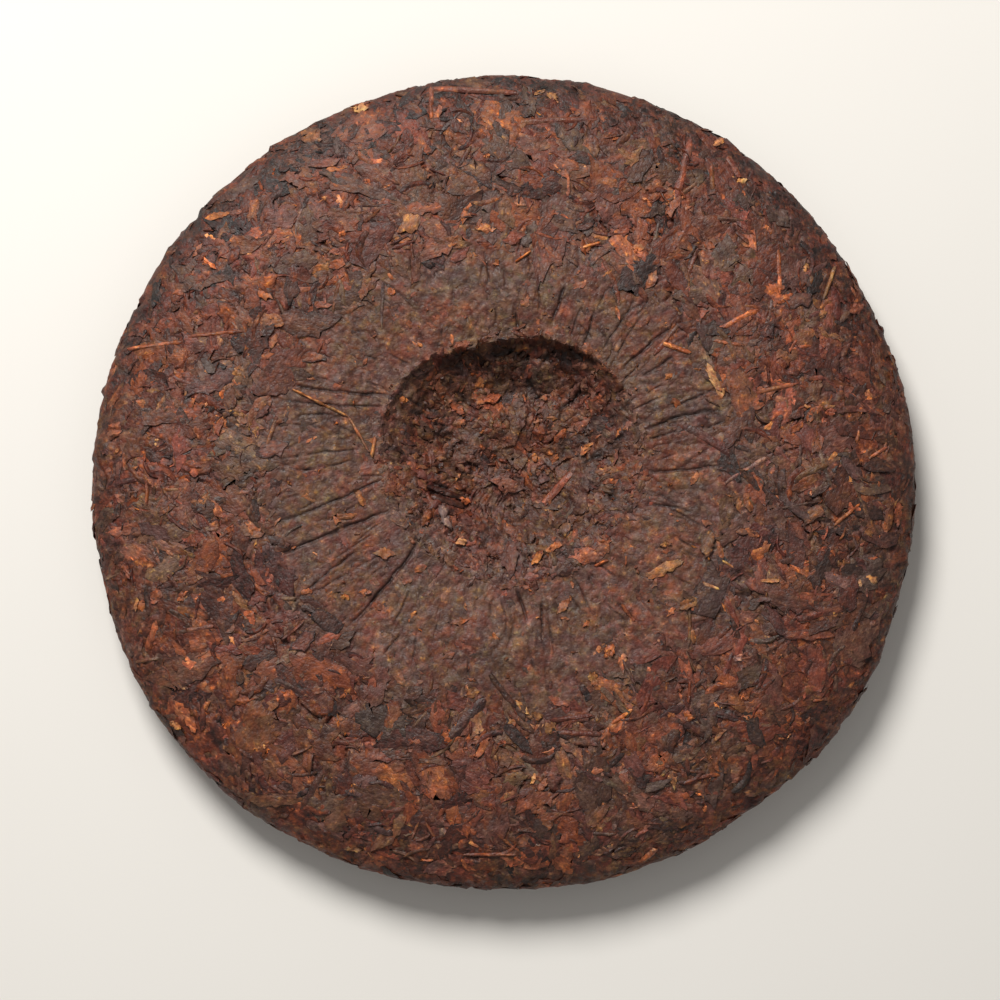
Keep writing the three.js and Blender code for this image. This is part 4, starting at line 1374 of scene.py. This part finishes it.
def marked_pieces(broad, stalk):
    """The leaves and stems of the two lists, those in the hollow raised clear of its loose leaf."""
    leaves = marked(
        MARKED_LEAVES, lift=(0.3, 0.5), fullness=(3, 7), head=(0.3, 0.7), tail=(0.3, 0.7),
        ragged=(0.15, 0.35), ripple=(0.1, 0.25), shade=(0.95, 1.05), bend=(0, 0),
    )
    away = from_hollow(leaves["a"], leaves["b"])[0]
    leaves["lift"] += 0.35 * smooth((HOLLOW_MOUTH - 3 - away) / 3)
    lay("marked_leaves", back_point, leaves, 10, 5, broad)
    stalks = marked(
        MARKED_STEMS, lift=(0.2, 0.35), arch=(0.35, 0.5), fullness=(8, 12), head=(0.5, 0.8),
        tail=(0.4, 0.8), ragged=(0.05, 0.15), roll=(0, 0), pitch=(0, 0), curl=(0, 0),
        drop=(0, 0.1), shade=(0.95, 1.05), bend=(-1, 1),
    )
    lay("marked_stems", back_point, stalks, 10, 4, stalk)


def leaves():
    """All the leaves, with a material for each kind."""
    calm = tea_material("calm_leaf", grain=0.08, speckle=0.36, bump=0.65, crumbs=0.8)
    fine = tea_material("fine_leaf", outline=0.75, patchy=0.85)
    broad = tea_material("broad_leaf", speckle=0.36, crumbs=0.5, outline=1.0, patchy=0.65)
    dark = tea_material("crumbled_leaf", warmth=0.04)
    stalk = tea_material("stalk", grain=0.12, speckle=0.3, roughness=0.55, warmth=0.05, crumbs=0.4)
    bright = tea_material("golden_leaf", grain=0.1, speckle=0.2, warmth=0.1, crumbs=0.5)
    fine_leaves(calm, fine)
    middle_leaves(broad)
    large_leaves(broad)
    hollow_leaves(dark)
    lip_leaves(dark)
    rim_leaves(dark)
    front_leaves(broad)
    stems(stalk, dark)
    bright_pieces(bright)
    marked_pieces(broad, stalk)


# The stage, the lights and the camera

FLOOR_SIZE = 8
VIEW_ELEVATION = radians(86)
LENS = 100.0
SENSOR = 36.0
PIXELS_ACROSS = 1000
PIXELS_PER_MM = 4.1
AIM = Vector((-0.7, -4.9, 11.5)) * MM


def stage():
    """A wide pale floor at the height of the table."""
    bpy.ops.mesh.primitive_plane_add(size=FLOOR_SIZE, location=(0, 0, 0))
    floor = bpy.context.object
    floor.name = "floor"
    material = bpy.data.materials.new("pale_floor")
    material.use_nodes = True
    tree = material.node_tree
    shader = tree.nodes["Principled BSDF"]
    place = add(tree, "ShaderNodeTexCoord", {}).outputs["Object"]
    tone = ramp(tree, cloud(tree, place, 3.0), [(0.0, colour(226, 222, 216)), (1.0, colour(234, 231, 226))])
    tree.links.new(tone, shader.inputs["Base Color"])
    shader.inputs["Roughness"].default_value = 0.9
    floor.data.materials.append(material)


def area_light(name, place, size, power, shown):
    """A round soft light that faces the cake, with its place and size in metres and power in watts."""
    light = bpy.data.lights.new(name, "AREA")
    light.color = shown
    light.shape = "DISK"
    light.size = size
    light.energy = power
    lamp = bpy.data.objects.new(name, light)
    lamp.location = place
    lamp.rotation_euler = (-Vector(place)).to_track_quat("-Z", "Y").to_euler()
    bpy.context.scene.collection.objects.link(lamp)


def lights():
    """A soft key light from the far side, a wide fill from the near side and a pale studio round both."""
    area_light("key", place=(-0.26, 0.6, 0.76), size=0.42, power=11.9, shown=(1.0, 0.985, 0.955))
    area_light("fill", place=(0.5, -1.0, 1.2), size=1.6, power=1.6, shown=(1.0, 1.0, 1.0))
    world = bpy.data.worlds.new("studio")
    world.use_nodes = True
    background = world.node_tree.nodes["Background"]
    background.inputs["Color"].default_value = (1.0, 0.98, 0.95, 1.0)
    background.inputs["Strength"].default_value = 0.24
    bpy.context.scene.world = world


def camera():
    """A camera that looks down on the cake, almost from right above."""
    distance = PIXELS_ACROSS / PIXELS_PER_MM * LENS / SENSOR * MM
    data = bpy.data.cameras.new("camera")
    data.lens = LENS
    data.sensor_width = SENSOR
    viewer = bpy.data.objects.new("camera", data)
    towards = Vector((0, -cos(VIEW_ELEVATION), sin(VIEW_ELEVATION)))
    viewer.location = AIM + towards * distance
    viewer.rotation_euler = (-towards).to_track_quat("-Z", "Y").to_euler()
    bpy.context.scene.collection.objects.link(viewer)
    bpy.context.scene.camera = viewer


core()
leaves()
stage()
lights()
camera()
bpy.context.scene.view_settings.view_transform = "Standard"
